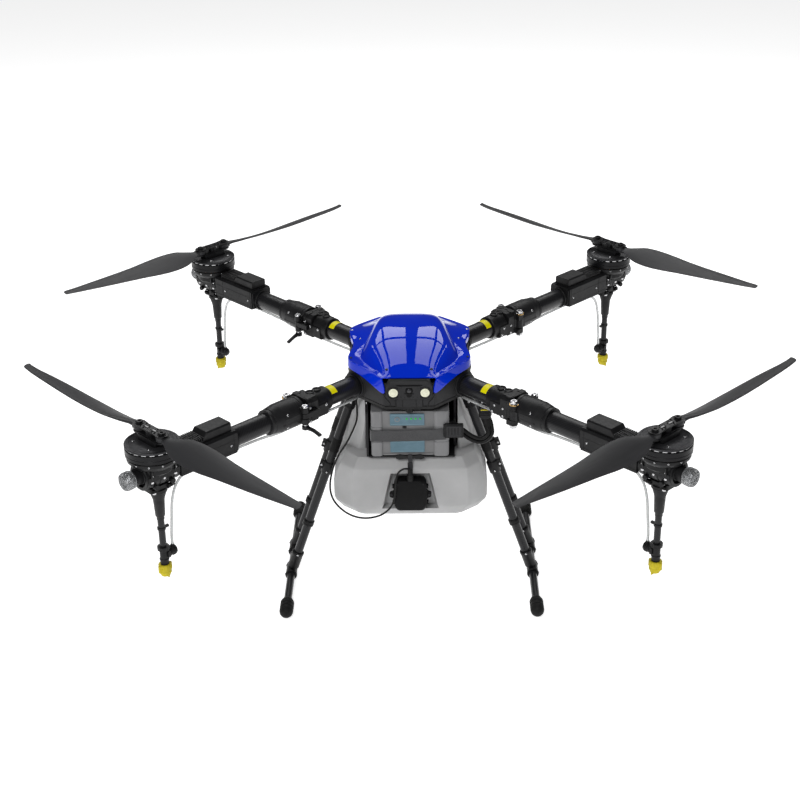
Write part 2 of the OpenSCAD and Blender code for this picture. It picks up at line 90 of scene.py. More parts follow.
def span(nt, val, a, b, lo=0.0, hi=1.0):
    r = nt.nodes.new("ShaderNodeMapRange")
    r.inputs["From Min"].default_value, r.inputs["From Max"].default_value = lo, hi
    r.inputs["To Min"].default_value, r.inputs["To Max"].default_value = a, b
    nt.links.new(val, r.inputs["Value"])
    return r.outputs["Result"]

def bump(nt, bsdf, height, dist, strength=1.0):
    b = nt.nodes.new("ShaderNodeBump")
    b.inputs["Strength"].default_value = strength
    b.inputs["Distance"].default_value = dist
    nt.links.new(height, b.inputs["Height"])
    nt.links.new(b.outputs["Normal"], bsdf.inputs["Normal"])
    return b

def coords(nt, kind="Object", stretch=None):
    t = nt.nodes.new("ShaderNodeTexCoord")
    out = t.outputs[kind]
    if stretch:
        m = nt.nodes.new("ShaderNodeMapping")
        m.inputs["Scale"].default_value = stretch
        nt.links.new(out, m.inputs["Vector"])
        out = m.outputs["Vector"]
    return out

def moulded(name, col, rough=(0.42, 0.55), var=0.25, patch=14, grain=1500, depth=0.00005, coat=0.0, spec=0.2, metal=0.0, stretch=None, dust=0.0):
    """Moulded or coated surface: slow colour patches, fine grain in bump and gloss, a little dust in patches."""
    m, nt, b = nodes_of(name)
    v = coords(nt, "Object", stretch)
    big = noise(nt, v, patch, 5, 0.6)
    lo = tuple(c * (1 - var) for c in col)
    hi = tuple(min(1, c * (1 + var)) for c in col)
    cr = ramp(nt, big.outputs["Fac"], [(0.3, lo), (0.7, hi)])
    out = cr.outputs["Color"]
    if dust:
        d = noise(nt, v, patch * 3.7, 8, 0.75)
        f = span(nt, d.outputs["Fac"], 0, dust, 0.5, 0.75)
        mix = nt.nodes.new("ShaderNodeMixRGB")
        mix.inputs["Color2"].default_value = (0.35, 0.34, 0.32, 1)
        nt.links.new(f, mix.inputs["Fac"])
        nt.links.new(out, mix.inputs["Color1"])
        out = mix.outputs["Color"]
    nt.links.new(out, b.inputs["Base Color"])
    fine = noise(nt, v, grain, 2, 0.6)
    mid = noise(nt, v, patch * 9, 4, 0.6)
    nt.links.new(span(nt, mid.outputs["Fac"], rough[0], rough[1], 0.3, 0.7), b.inputs["Roughness"])
    b.inputs["Metallic"].default_value = metal
    b.inputs["Specular IOR Level"].default_value = spec
    b.inputs["Coat Weight"].default_value = coat
    b.inputs["Coat Roughness"].default_value = 0.12
    bump(nt, b, fine.outputs["Fac"], depth)
    return m

def mat_carbon(name="carbon_tube"):
    """Twill carbon tube under clear resin. Uses UV in millimetres: u round the tube, v along it."""
    m, nt, b = nodes_of(name)
    uv = nt.nodes.new("ShaderNodeUVMap")
    sep = nt.nodes.new("ShaderNodeSeparateXYZ")
    nt.links.new(uv.outputs["UV"], sep.inputs["Vector"])
    def math_(op, a, bb=None, clamp=False):
        n = nt.nodes.new("ShaderNodeMath"); n.operation = op; n.use_clamp = clamp
        for k, x in enumerate((a, bb)):
            if x is None: continue
            if isinstance(x, (int, float)): n.inputs[k].default_value = x
            else: nt.links.new(x, n.inputs[k])
        return n.outputs[0]
    cell = 1.6
    u = math_("DIVIDE", sep.outputs["X"], cell); v = math_("DIVIDE", sep.outputs["Y"], cell)
    tot = math_("ADD", math_("FLOOR", u), math_("FLOOR", v))
    fr = math_("FRACT", math_("DIVIDE", tot, 4.0))
    over = math_("LESS_THAN", fr, 0.49)
    su = math_("ABSOLUTE", math_("SUBTRACT", math_("FRACT", u), 0.5)); sv = math_("ABSOLUTE", math_("SUBTRACT", math_("FRACT", v), 0.5))
    pick = nt.nodes.new("ShaderNodeMix"); pick.data_type = "FLOAT"
    nt.links.new(over, pick.inputs[0]); nt.links.new(su, pick.inputs[2]); nt.links.new(sv, pick.inputs[3])
    h = pick.outputs[0]
    shade = math_("ADD", math_("MULTIPLY", over, 0.5), math_("MULTIPLY", h, 0.5))
    cr = ramp(nt, shade, [(0.0, (0.009, 0.009, 0.010)), (1.0, (0.019, 0.019, 0.021))])
    nt.links.new(cr.outputs["Color"], b.inputs["Base Color"])
    n = noise(nt, coords(nt), 60, 4)
    nt.links.new(span(nt, n.outputs["Fac"], 0.30, 0.42, 0.3, 0.7), b.inputs["Roughness"])
    b.inputs["Specular IOR Level"].default_value = 0.2
    b.inputs["Coat Weight"].default_value = 0.25
    b.inputs["Coat IOR"].default_value = 1.35
    b.inputs["Coat Roughness"].default_value = 0.16
    bump(nt, b, h, 0.00006, 0.6)
    return m

def mat_hood():
    m, nt, b = nodes_of("blue_gloss")
    v = coords(nt)
    big = noise(nt, v, 7, 3)
    cr = ramp(nt, big.outputs["Fac"], [(0.3, (0.0, 0.024, 0.60)), (0.7, (0.0, 0.034, 0.72))])
    nt.links.new(cr.outputs["Color"], b.inputs["Base Color"])
    n2 = noise(nt, v, 90, 5)
    nt.links.new(span(nt, n2.outputs["Fac"], 0.30, 0.40, 0.3, 0.7), b.inputs["Roughness"])
    b.inputs["Specular IOR Level"].default_value = 0.0
    b.inputs["Coat Weight"].default_value = 1.0
    b.inputs["Coat IOR"].default_value = 1.34
    b.inputs["Coat Roughness"].default_value = 0.015
    orange = noise(nt, v, 220, 2)
    bump(nt, b, orange.outputs["Fac"], 0.00002, 0.15)
    return m

def mat_steel(name="steel_bolt", col=(0.62, 0.62, 0.63), rough=(0.16, 0.3)):
    m, nt, b = nodes_of(name)
    v = coords(nt)
    n = noise(nt, v, 300, 6)
    cr = ramp(nt, n.outputs["Fac"], [(0.3, tuple(c * 0.8 for c in col)), (0.7, col)])
    nt.links.new(cr.outputs["Color"], b.inputs["Base Color"])
    nt.links.new(span(nt, n.outputs["Fac"], rough[0], rough[1], 0.3, 0.7), b.inputs["Roughness"])
    b.inputs["Metallic"].default_value = 1.0
    fine = noise(nt, v, 1800, 3)
    bump(nt, b, fine.outputs["Fac"], 0.00003, 0.5)
    return m

def mat_tank():
    """Milky translucent blow-moulded tank: slow clouding, faint mould texture, light carried through."""
    m, nt, b = nodes_of("tank_translucent")
    v = coords(nt)
    cloud = noise(nt, v, 9, 4, 0.6)
    cr = ramp(nt, cloud.outputs["Fac"], [(0.3, (0.36, 0.36, 0.362)), (0.7, (0.44, 0.441, 0.444))])
    nt.links.new(cr.outputs["Color"], b.inputs["Base Color"])
    n2 = noise(nt, v, 130, 4)
    nt.links.new(span(nt, n2.outputs["Fac"], 0.38, 0.52, 0.3, 0.7), b.inputs["Roughness"])
    b.inputs["Subsurface Weight"].default_value = 0.35
    b.inputs["Subsurface Radius"].default_value = (1.0, 1.0, 1.0)
    b.inputs["Subsurface Scale"].default_value = 0.006
    b.inputs["Specular IOR Level"].default_value = 0.35
    grain = noise(nt, v, 420, 3)
    bump(nt, b, grain.outputs["Fac"], 0.00006, 0.5)
    return m

def mat_webbing():
    """Woven strap: UV in millimetres, u across, v along."""
    m, nt, b = nodes_of("strap_webbing")
    uv = nt.nodes.new("ShaderNodeUVMap")
    def wave(rot, scale, kind="SIN"):
        mp = nt.nodes.new("ShaderNodeMapping"); mp.inputs["Rotation"].default_value = (0, 0, rot)
        nt.links.new(uv.outputs["UV"], mp.inputs["Vector"])
        w = nt.nodes.new("ShaderNodeTexWave"); w.wave_type = "BANDS"; w.bands_direction = "X"; w.wave_profile = kind
        w.inputs["Scale"].default_value = scale; w.inputs["Distortion"].default_value = 0.4; w.inputs["Detail"].default_value = 1
        nt.links.new(mp.outputs["Vector"], w.inputs["Vector"])
        return w.outputs["Fac"]
    a, c = wave(0, 0.42), wave(math.pi / 2, 0.30)
    mx = nt.nodes.new("ShaderNodeMath"); mx.operation = "MULTIPLY"; nt.links.new(a, mx.inputs[0]); nt.links.new(c, mx.inputs[1])
    n = noise(nt, coords(nt), 45, 5)
    ad = nt.nodes.new("ShaderNodeMath"); ad.operation = "MULTIPLY_ADD"; ad.inputs[1].default_value = 0.55
    nt.links.new(mx.outputs[0], ad.inputs[0]); nt.links.new(span(nt, n.outputs["Fac"], 0, 0.45), ad.inputs[2])
    cr = ramp(nt, ad.outputs[0], [(0.05, (0.030, 0.030, 0.032)), (0.9, (0.088, 0.088, 0.092))])
    nt.links.new(cr.outputs["Color"], b.inputs["Base Color"])
    nt.links.new(span(nt, n.outputs["Fac"], 0.65, 0.85), b.inputs["Roughness"])
    b.inputs["Sheen Weight"].default_value = 0.35
    b.inputs["Sheen Roughness"].default_value = 0.4
    bump(nt, b, mx.outputs[0], 0.0004, 0.8)
    return m

def mat_glass(name, col, rough=0.04, trans=0.75, bumpy=0.0, scale=300):
    m, nt, b = nodes_of(name)
    v = coords(nt)
    n = noise(nt, v, scale, 3)
    cr = ramp(nt, n.outputs["Fac"], [(0.3, tuple(c * 0.85 for c in col)), (0.7, col)])
    nt.links.new(cr.outputs["Color"], b.inputs["Base Color"])
    nt.links.new(span(nt, n.outputs["Fac"], rough, rough * 2 + 0.02), b.inputs["Roughness"])
    b.inputs["Transmission Weight"].default_value = trans
    b.inputs["IOR"].default_value = 1.46
    if bumpy:
        bump(nt, b, n.outputs["Fac"], bumpy)
    return m

def mat_label():
    """Blue-grey label film with a plain generic pattern and no marks; the lighter bands along the top and bottom are
    separate strips in their own material.
    """
    m, nt, b = nodes_of("label_film")
    v = coords(nt)
    n = noise(nt, v, 60, 5)
    cr = ramp(nt, n.outputs["Fac"], [(0.3, (0.055, 0.125, 0.165)), (0.7, (0.085, 0.165, 0.215))])
    nt.links.new(cr.outputs["Color"], b.inputs["Base Color"])
    nt.links.new(span(nt, n.outputs["Fac"], 0.25, 0.45), b.inputs["Roughness"])
    fine = noise(nt, v, 900, 2)
    bump(nt, b, fine.outputs["Fac"], 0.00002, 0.4)
    return m

M = {
    "black": moulded("black_moulded", (0.0085, 0.0085, 0.0092), (0.34, 0.50), dust=0.02),
    "sleeve": moulded("sleeve_moulded", (0.0125, 0.0125, 0.0135), (0.36, 0.48), dust=0.02),
    "dark": moulded("dark_moulded", (0.024, 0.024, 0.026), (0.42, 0.55), dust=0.03),
    "nose": moulded("nose_moulded", (0.020, 0.020, 0.0215), (0.40, 0.52), grain=900, depth=0.00008),
    "metal": moulded("anodised_metal", (0.0095, 0.0095, 0.0105), (0.26, 0.38), metal=0.25, grain=2600, depth=0.00002),
    # painted light: the motor cap is a lighter grey than the bell's dark metal, standing in for the light on its upward
    # face
    "cap": moulded("motor_cap_painted_light", (0.036, 0.036, 0.039), (0.34, 0.46), metal=0.4, grain=2200, depth=0.00003),
    "carbon": mat_carbon(),
    "blue": mat_hood(),
    "steel": mat_steel(),
    "brass": mat_steel("brass_washer", (0.55, 0.36, 0.14)),
    "copper": mat_steel("copper_winding", (0.48, 0.21, 0.10), (0.3, 0.45)),
    "tank": mat_tank(),
    "battery": moulded("battery_moulded", (0.200, 0.200, 0.205), (0.46, 0.60), var=0.10, grain=700, depth=0.00010, dust=0.05),
    "battery2": moulded("battery_centre", (0.17, 0.17, 0.173), (0.46, 0.60), var=0.12, grain=700, depth=0.00008, dust=0.05),
    "strap": mat_webbing(),
    "rubber": moulded("soft_rubber", (0.009, 0.009, 0.009), (0.55, 0.75), grain=500, depth=0.00012, dust=0.03),
    "cable": moulded("cable_sheath", (0.007, 0.007, 0.007), (0.38, 0.52), grain=800, depth=0.00005),
    "yellow": moulded("yellow_moulded", (0.56, 0.47, 0.02), (0.40, 0.52), var=0.18, patch=50, grain=900, depth=0.00008),
    "tape": moulded("yellow_tape", (0.86, 0.78, 0.0), (0.30, 0.42), var=0.06, patch=60, grain=700, depth=0.00005),
    "tape_edge": moulded("tape_edge_blue", (0.010, 0.010, 0.045), (0.35, 0.45), var=0.2, patch=60),
    "red": moulded("red_moulded", (0.55, 0.012, 0.014), (0.35, 0.5), var=0.2, patch=60),
    "blade": moulded("blade_composite", (0.040, 0.040, 0.0425), (0.40, 0.52), var=0.22, patch=9, grain=420, depth=0.00006, stretch=(1, 0.12, 1), dust=0.04),
    "lens": mat_glass("dark_lens", (0.02, 0.02, 0.025), 0.02, 0.0),
    "lamp": mat_glass("lamp_crystal", (0.50, 0.51, 0.52), 0.02, 0.75),
    "hose": mat_glass("clear_hose_wall", (0.66, 0.67, 0.67), 0.08, 0.6, 0.00003, 120),
    "headlight": moulded("headlight_lens", (0.80, 0.80, 0.62), (0.10, 0.18), var=0.06, patch=80, coat=0.8),
    "green": moulded("green_light", (0.02, 0.55, 0.03), (0.2, 0.3), var=0.1, patch=200),
    "label": mat_label(),
    "white": moulded("white_cap", (0.75, 0.75, 0.74), (0.3, 0.4), var=0.06, patch=80),
}

# ------------------------------------------------------------------ mesh helpers (all in millimetres)
def circle(n, r, start=0.0):
    return [(r * math.cos(2 * math.pi * k / n + start), r * math.sin(2 * math.pi * k / n + start)) for k in range(n)]

def T(x=0, y=0, z=0): return Matrix.Translation((x, y, z))
def R(a, ax): return Matrix.Rotation(math.radians(a), 4, ax)
ALONG_X = Matrix(((0, 0, 1, 0), (0, 1, 0, 0), (-1, 0, 0, 0), (0, 0, 0, 1)))   # local z runs along +x
ALONG_Y = Matrix(((1, 0, 0, 0), (0, 0, 1, 0), (0, -1, 0, 0), (0, 0, 0, 1)))   # local z runs along +y

class Part:
    """Gathers closed shells, in mm, into one mesh."""
    def __init__(self):
        self.v, self.f, self.m, self.uv = [], [], [], []
    def add(self, verts, faces, mat=0, M_=None, uvs=None):
        o = len(self.v)
        for p in verts:
            p = Vector(p)
            self.v.append(tuple(M_ @ p) if M_ is not None else tuple(p))
        flip = M_ is not None and M_.determinant() < 0
        for k, f in enumerate(faces):
            idx = [i + o for i in f]
            u = list(uvs[k]) if uvs else [(0, 0)] * len(f)
            if flip: idx, u = idx[::-1], u[::-1]
            self.f.append(idx); self.m.append(mat); self.uv.append(u)
        return self
    def box(self, a, b, mat=0, M_=None):
        (x0, y0, z0), (x1, y1, z1) = a, b
        v = [(x0, y0, z0), (x1, y0, z0), (x1, y1, z0), (x0, y1, z0), (x0, y0, z1), (x1, y0, z1), (x1, y1, z1), (x0, y1, z1)]
        f = [(3, 2, 1, 0), (4, 5, 6, 7), (0, 1, 5, 4), (1, 2, 6, 5), (2, 3, 7, 6), (3, 0, 4, 7)]
        return self.add(v, f, mat, M_)
    def prism(self, poly, z0, z1, mat=0, M_=None, top=None):
        """poly counter-clockwise; top: another outline of the same count for the upper end."""
        n = len(poly); top = top or poly
        v = [(x, y, z0) for x, y in poly] + [(x, y, z1) for x, y in top]
        f = [tuple(range(n - 1, -1, -1)), tuple(range(n, 2 * n))] + [(k, (k + 1) % n, n + (k + 1) % n, n + k) for k in range(n)]
        return self.add(v, f, mat, M_)
    def loft(self, rings, mat=0, M_=None, caps=True, uv=None):
        """rings: lists of 3-D points, same count, each counter-clockwise seen from the last ring's side."""
        n = len(rings[0]); v = [p for r in rings for p in r]; f = []; u = []
        for i in range(len(rings) - 1):
            for k in range(n):
                f.append((i * n + k, i * n + (k + 1) % n, (i + 1) * n + (k + 1) % n, (i + 1) * n + k))
                if uv: u.append([uv(i, k), uv(i, k + 1), uv(i + 1, k + 1), uv(i + 1, k)])
        if caps:
            f.append(tuple(range(n - 1, -1, -1))); f.append(tuple((len(rings) - 1) * n + k for k in range(n)))
            if uv: u += [[(0, 0)] * n] * 2
        return self.add(v, f, mat, M_, u if uv else None)
    def lathe(self, prof, mat=0, M_=None, n=48, closed=False):
        """prof: (r, z) from the bottom up on the outside; r 0 ends make a point. closed: the profile is a loop."""
        rings = []; v = []; f = []; u = []
        for r, z in prof:
            if r <= 1e-6: rings.append([len(v)]); v.append((0, 0, z))
            else:
                rings.append(list(range(len(v), len(v) + n)))
                v += [(x, y, z) for x, y in circle(n, r)]
        run = 0.0
        pairs = list(zip(range(len(prof)), range(1, len(prof)))) + ([(len(prof) - 1, 0)] if closed else [])
        for i, j in pairs:
            A, B = rings[i], rings[j]
            step = math.hypot(prof[j][0] - prof[i][0], prof[j][1] - prof[i][1])
            rr = max(prof[i][0], prof[j][0])
            for k in range(n):
                k2 = (k + 1) % n
                ua, ub = 2 * math.pi * k / n * rr, 2 * math.pi * (k + 1) / n * rr
                if len(A) == 1 and len(B) == 1: continue
                if len(A) == 1: f.append((A[0], B[k2], B[k])); u.append([(ua, run), (ub, run + step), (ua, run + step)])
                elif len(B) == 1: f.append((A[k], A[k2], B[0])); u.append([(ua, run), (ub, run), (ua, run + step)])
                else: f.append((A[k], A[k2], B[k2], B[k])); u.append([(ua, run), (ub, run), (ub, run + step), (ua, run + step)])
            run += step
        if not closed:
            if len(rings[0]) > 1: f.append(tuple(reversed(rings[0]))); u.append([(0, 0)] * n)
            if len(rings[-1]) > 1: f.append(tuple(rings[-1])); u.append([(0, 0)] * n)
        return self.add(v, f, mat, M_, u)
    def tube(self, path, r, mat=0, M_=None, n=12, up=(0, 1, 0), cap=True):
        """Round tube along points; r a number or a list."""
        P = [Vector(p) for p in path]; rings = []; u = Vector(up); L = 0; ls = []
        for i, p in enumerate(P):
            t = (P[min(i + 1, len(P) - 1)] - P[max(i - 1, 0)]).normalized()
            u = (u - u.dot(t) * t).normalized(); w = t.cross(u)
            rr = r[i] if isinstance(r, (list, tuple)) else r
            rings.append([p + rr * (math.cos(2 * math.pi * k / n) * u + math.sin(2 * math.pi * k / n) * w) for k in range(n)])
            if i: L += (P[i] - P[i - 1]).length
            ls.append(L)
        r0 = r if not isinstance(r, (list, tuple)) else r[0]
        return self.loft(rings, mat, M_, cap, uv=lambda i, k: (2 * math.pi * k / n * r0, ls[i]))
    def screw(self, p, axis, r=2.6, h=1.6, mat=0, hexr=1.3, M_=None):
        """Button-head socket screw whose head stands on point p along axis."""
        a = Vector(axis).normalized()
        B = a.to_track_quat("Z", "Y").to_matrix().to_4x4(); B.translation = Vector(p)
        B = (M_ @ B) if M_ is not None else B
        hx = circle(6, hexr)
        n = 18
        prof = [(r, -0.4), (r, h * 0.35), (r * 0.86, h * 0.75), (r * 0.62, h)]
        v = []; 
        for rr, z in prof: v += [(x, y, z) for x, y in circle(n, rr)]
        f = [tuple(range(n - 1, -1, -1))]
        for i in range(3):
            for k in range(n): f.append((i * n + k, i * n + (k + 1) % n, (i + 1) * n + (k + 1) % n, (i + 1) * n + k))
        o = 3 * n; q = len(v)
        v += [(x, y, h) for x, y in hx] + [(x, y, h * 0.3) for x, y in hx]
        for k in range(6):   # ring between round edge and socket: 3 outer steps to 1 inner
            for j in range(3): f.append((o + 3 * k + j, o + (3 * k + j + 1) % n, q + k))
            f.append((o + (3 * k + 3) % n, q + (k + 1) % 6, q + k))
            f.append((q + k, q + (k + 1) % 6, q + 6 + (k + 1) % 6, q + 6 + k))
        f.append(tuple(q + 6 + k for k in range(6)))
        return self.add(v, f, mat, B)
    def mesh(self, name, mats):
        me = bpy.data.meshes.new(name)
        me.from_pydata([(x * MM, y * MM, z * MM) for x, y, z in self.v], [], self.f)
        layer = me.uv_layers.new(name="UVMap")
        k = 0
        for poly, u in zip(me.polygons, self.uv):
            for j, li in enumerate(poly.loop_indices): layer.data[li].uv = u[j]
        for key in mats: me.materials.append(M[key])
        me.polygons.foreach_set("material_index", self.m)
        bm = bmesh.new(); bm.from_mesh(me)
        bmesh.ops.recalc_face_normals(bm, faces=bm.faces)
        bm.to_mesh(me); bm.free()
        me.update()
        return me

def place(me, name, body, replaces=(), world=None, bevel=0.0, seg=2, angle=32, sub=0, solid=0.0, smooth_angle=38):
    o = bpy.data.objects.new(name, me)
    SCN.collection.objects.link(o)
    if world is not None: o.matrix_world = world
    me.polygons.foreach_set("use_smooth", [True] * len(me.polygons))
    if sub:
        s = o.modifiers.new("sub", "SUBSURF"); s.levels = s.render_levels = sub
    if solid:
        s = o.modifiers.new("wall", "SOLIDIFY"); s.thickness = solid * MM; s.offset = -1
    if bevel:
        b = o.modifiers.new("edge", "BEVEL"); b.width = bevel * MM; b.segments = seg
        b.limit_method = "ANGLE"; b.angle_limit = math.radians(angle); b.harden_normals = True
    elif not sub:
        me.set_sharp_from_angle(angle=math.radians(smooth_angle))
    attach(o, body)
    if replaces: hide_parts(*replaces)
    return o

def arm_world(a):
    return Matrix.Rotation(math.radians(AZ[a]), 4, "Z")

def catmull(points, n):
    P = [Vector(p) for p in points]; out = []
    ext = [2 * P[0] - P[1]] + P + [2 * P[-1] - P[-2]]
    for i in range(len(P) - 1):
        p0, p1, p2, p3 = ext[i:i + 4]
        for k in range(n):
            t = k / n
            out.append(0.5 * ((2 * p1) + (p2 - p0) * t + (2 * p0 - 5 * p1 + 4 * p2 - p3) * t * t + (3 * p1 - p0 - 3 * p2 + p3) * t ** 3))
    out.append(P[-1])
    return out

def rounded(poly, r, n=4):
    """Rounds the corners of a polygon."""
    out = []; N = len(poly)
    for i in range(N):
        p0, p1, p2 = (Vector((*poly[(i + d) % N], 0)) for d in (-1, 0, 1))
        a, b = (p0 - p1), (p2 - p1)
        d = min(r, a.length * 0.45, b.length * 0.45)
        s, e = p1 + a.normalized() * d, p1 + b.normalized() * d
        for k in range(n + 1):
            t = k / n
            q = (1 - t) ** 2 * s + 2 * t * (1 - t) * p1 + t * t * e
            out.append((q.x, q.y))
    return out

# ------------------------------------------------------------------ cords first
TZ = 472.0
RADAR_ROUTE = [(0, -158, 308), (-3, -158, 314), (-14, -159, 314), (-24, -161, 306), (-28, -164, 290), (-29, -166, 274), (-31, -167, 256), (-38, -167, 235), (-52, -165, 219), (-68, -163, 210), (-90, -160, 205), (-112, -156, 207), (-132, -149, 215), (-149, -139, 228), (-158, -127, 242), (-160, -114, 258), (-156, -108, 280), (-149, -107, 302), (-139, -109, 324), (-126, -112, 346), (-115, -111, 368), (-104, -107, 396), (-103, -98, 420), (-106, -86, 438), (-108, -78, 449)]
LEAD_ROUTE = [(80, -118, 392), (100, -124, 380), (122, -130, 366), (142, -130, 362), (156, -126, 374), (154, -120, 392), (148, -116, 408)]

def radar_cable():
    P = catmull(RADAR_ROUTE, 8)
    me = Part().tube(P, 1.9, n=14, up=(0, 1, 0)).mesh("radar_cable_sheath", ["cable"])
    o = place(me, "radar_cable_sheath", "airframe", ["radar_cable"], smooth_angle=60)
    p = Part()
    # strain relief on the radar's gland
    t = T(0, -158, 0)
    p.lathe([(0, 289), (6.4, 289), (6.4, 297), (5.6, 297.6), (5.6, 298.6), (6.2, 299), (6.2, 301.5), (5.0, 302), (5.0, 303), (4.4, 303.4), (4.4, 304.6), (3.9, 305), (3.9, 306.2), (3.3, 306.6), (3.3, 307.8), (2.7, 308.2), (2.4, 310), (0, 310)], 0, t, 24)
    me2 = p.mesh("radar_gland", ["cable"])
    g = place(me2, "radar_gland", "airframe", bevel=0.25)
    return o
radar_cable()

def battery_lead():
    P = catmull(LEAD_ROUTE, 8)
    obs = []
    centre = []
    # twin silicone cables side by side, bound by one sleeve near each end
    p = Part()
    up = Vector((0, 1, 0))
    side = []
    for i, q in enumerate(P):
        t = (P[min(i + 1, len(P) - 1)] - P[max(i - 1, 0)]).normalized()
        up = (up - up.dot(t) * t).normalized()
        side.append(t.cross(up).normalized())
    for s in (-1, 1):
        p.tube([q + s * 4.1 * u for q, u in zip(P, side)], 3.9, 0, n=18, up=(0, 1, 0))
    for a, b in ((0, 7), (38, len(P) - 1)):
        seg = P[a:b + 1]
        rings = []
        for q, u in zip(seg, side[a:b + 1]):
            i = P.index(q)
            t = (P[min(i + 1, len(P) - 1)] - P[max(i - 1, 0)]).normalized()
            w = t.cross(u)
            rings.append([q + u * (4.1 * math.copysign(1, math.cos(x)) * (1 if abs(math.cos(x)) > 0.05 else 0) + 4.4 * math.cos(x)) + w * 4.4 * math.sin(x) for x in [2 * math.pi * (k + 0.5) / 20 for k in range(20)]])
        p.loft(rings, 1)
    me = p.mesh("battery_lead_cable", ["cable", "rubber"])
    o = place(me, "battery_lead_cable", "battery", ["battery_lead"], smooth_angle=60)
    q = Part()
    # tapered relief on the battery's corner
    q.prism(rounded([(-126, 384), (-110, 384), (-110, 400), (-126, 400)], 4), 0, 5, 0, Matrix(((0, 0, 1, 76), (1, 0, 0, 0), (0, 1, 0, 0), (0, 0, 0, 1))))
    q.prism(rounded([(-126, 386), (-112, 386), (-112, 399), (-126, 399)], 4), 0, 9, 0, Matrix(((0, 0, 1, 80), (1, 0, 0, 0), (0, 1, 0, 0), (0, 0, 0, 1))), rounded([(-125, 387), (-114, 387), (-114, 396), (-125, 396)], 4))
    # plug: body with grip ridges, neck, yellow mark
    q.prism(rounded([(134, -126), (158, -126), (158, -104), (134, -104)], 4), 409, 430.8, 0)
    q.prism(rounded([(137, -124), (155, -124), (155, -106), (137, -106)], 5), 404.5, 409, 0, None, rounded([(135, -125.4), (157, -125.4), (157, -104.6), (135, -104.6)], 5))
    for z in (412, 415.4, 418.8):
        q.box((136, -127.2, z), (156, -125.6, z + 1.7), 0)
        q.box((156.6, -124, z), (159, -106, z + 1.7), 0)
    q.box((137, -127.0, 424.5), (152, -125.7, 426.5), 1)
    me2 = q.mesh("battery_plug", ["black", "yellow"])
    g = place(me2, "battery_plug", "battery", bevel=0.7)
battery_lead()

# ------------------------------------------------------------------ arms
def arm_part():
    p = Part()
    X = ALONG_X
    # folding sleeve: shoulder, ring lines, cone, end ring
    p.lathe([(20.2, 297.2), (26.6, 297.2), (27.6, 298.4), (27.6, 303.2), (26.9, 303.8), (26.9, 305.0), (27.6, 305.6), (27.6, 311), (28, 311.6), (28, 348), (27.4, 350.5), (25.3, 363), (24.9, 365.2), (23.9, 365.8), (23.9, 366.6),
             (24.4, 367.0), (24.4, 373.0), (23.6, 374), (19.1, 374), (19.1, 330), (20.2, 320)], 0, T(0, 0, TZ) @ X, 64, closed=True)
    # long moulded groove plates along both sides of the sleeve, as raised frames
    for s in (-1, 1):
        for (r0, r1, z, h) in ((312, 356, -6, 1.6), (312, 352, 4.5, 1.3)):
            y = math.sqrt(28.2 ** 2 - z * z)
            p.box((r0, min(s * (y - 2), s * (y + 0.25)), TZ + z - h), (r1 - 4, max(s * (y - 2), s * (y + 0.25)), TZ + z + h), 0)
    # middle lug on the hinge pin
    p.lathe([(5.2, TZ - 13.3), (7.9, TZ - 13.3), (7.9, TZ + 5.3), (5.2, TZ + 5.3)], 0, T(300, -25, 0), 40, closed=True)
    p.box((300, -29.8, TZ - 13.2), (313, -17.5, TZ + 5.2), 0)
    # ears for the latch shaft, round ended
    for z in (TZ - 17, TZ + 6):
        p.lathe([(4.2, z + .1), (6.9, z + .1), (6.9, z + 10.9), (4.2, z + 10.9)], 0, T(303, 30, 0), 36, closed=True)
        p.box((297.4, 14, z + .2), (309.6, 29.5, z + 10.8), 0)
    # screws that clamp the sleeve to the tube
    for s, z in ((1, 12), (-1, 12), (1, -14), (-1, -14)):
        y = s * math.sqrt(28 ** 2 - z * z)
        p.screw((340, y - s * 0.6, TZ + z), (0, y, z), 2.5, 1.5, 1)
    return p.mesh("arm_sleeve", ["sleeve", "steel"])

def outer_tube_part():
    p = Part()
    p.lathe([(17, 318), (19, 318), (19, 652), (18.4, 653), (17, 653)], 0, T(0, 0, TZ) @ ALONG_X, 64, closed=True)
    return p.mesh("arm_tube", ["carbon"])

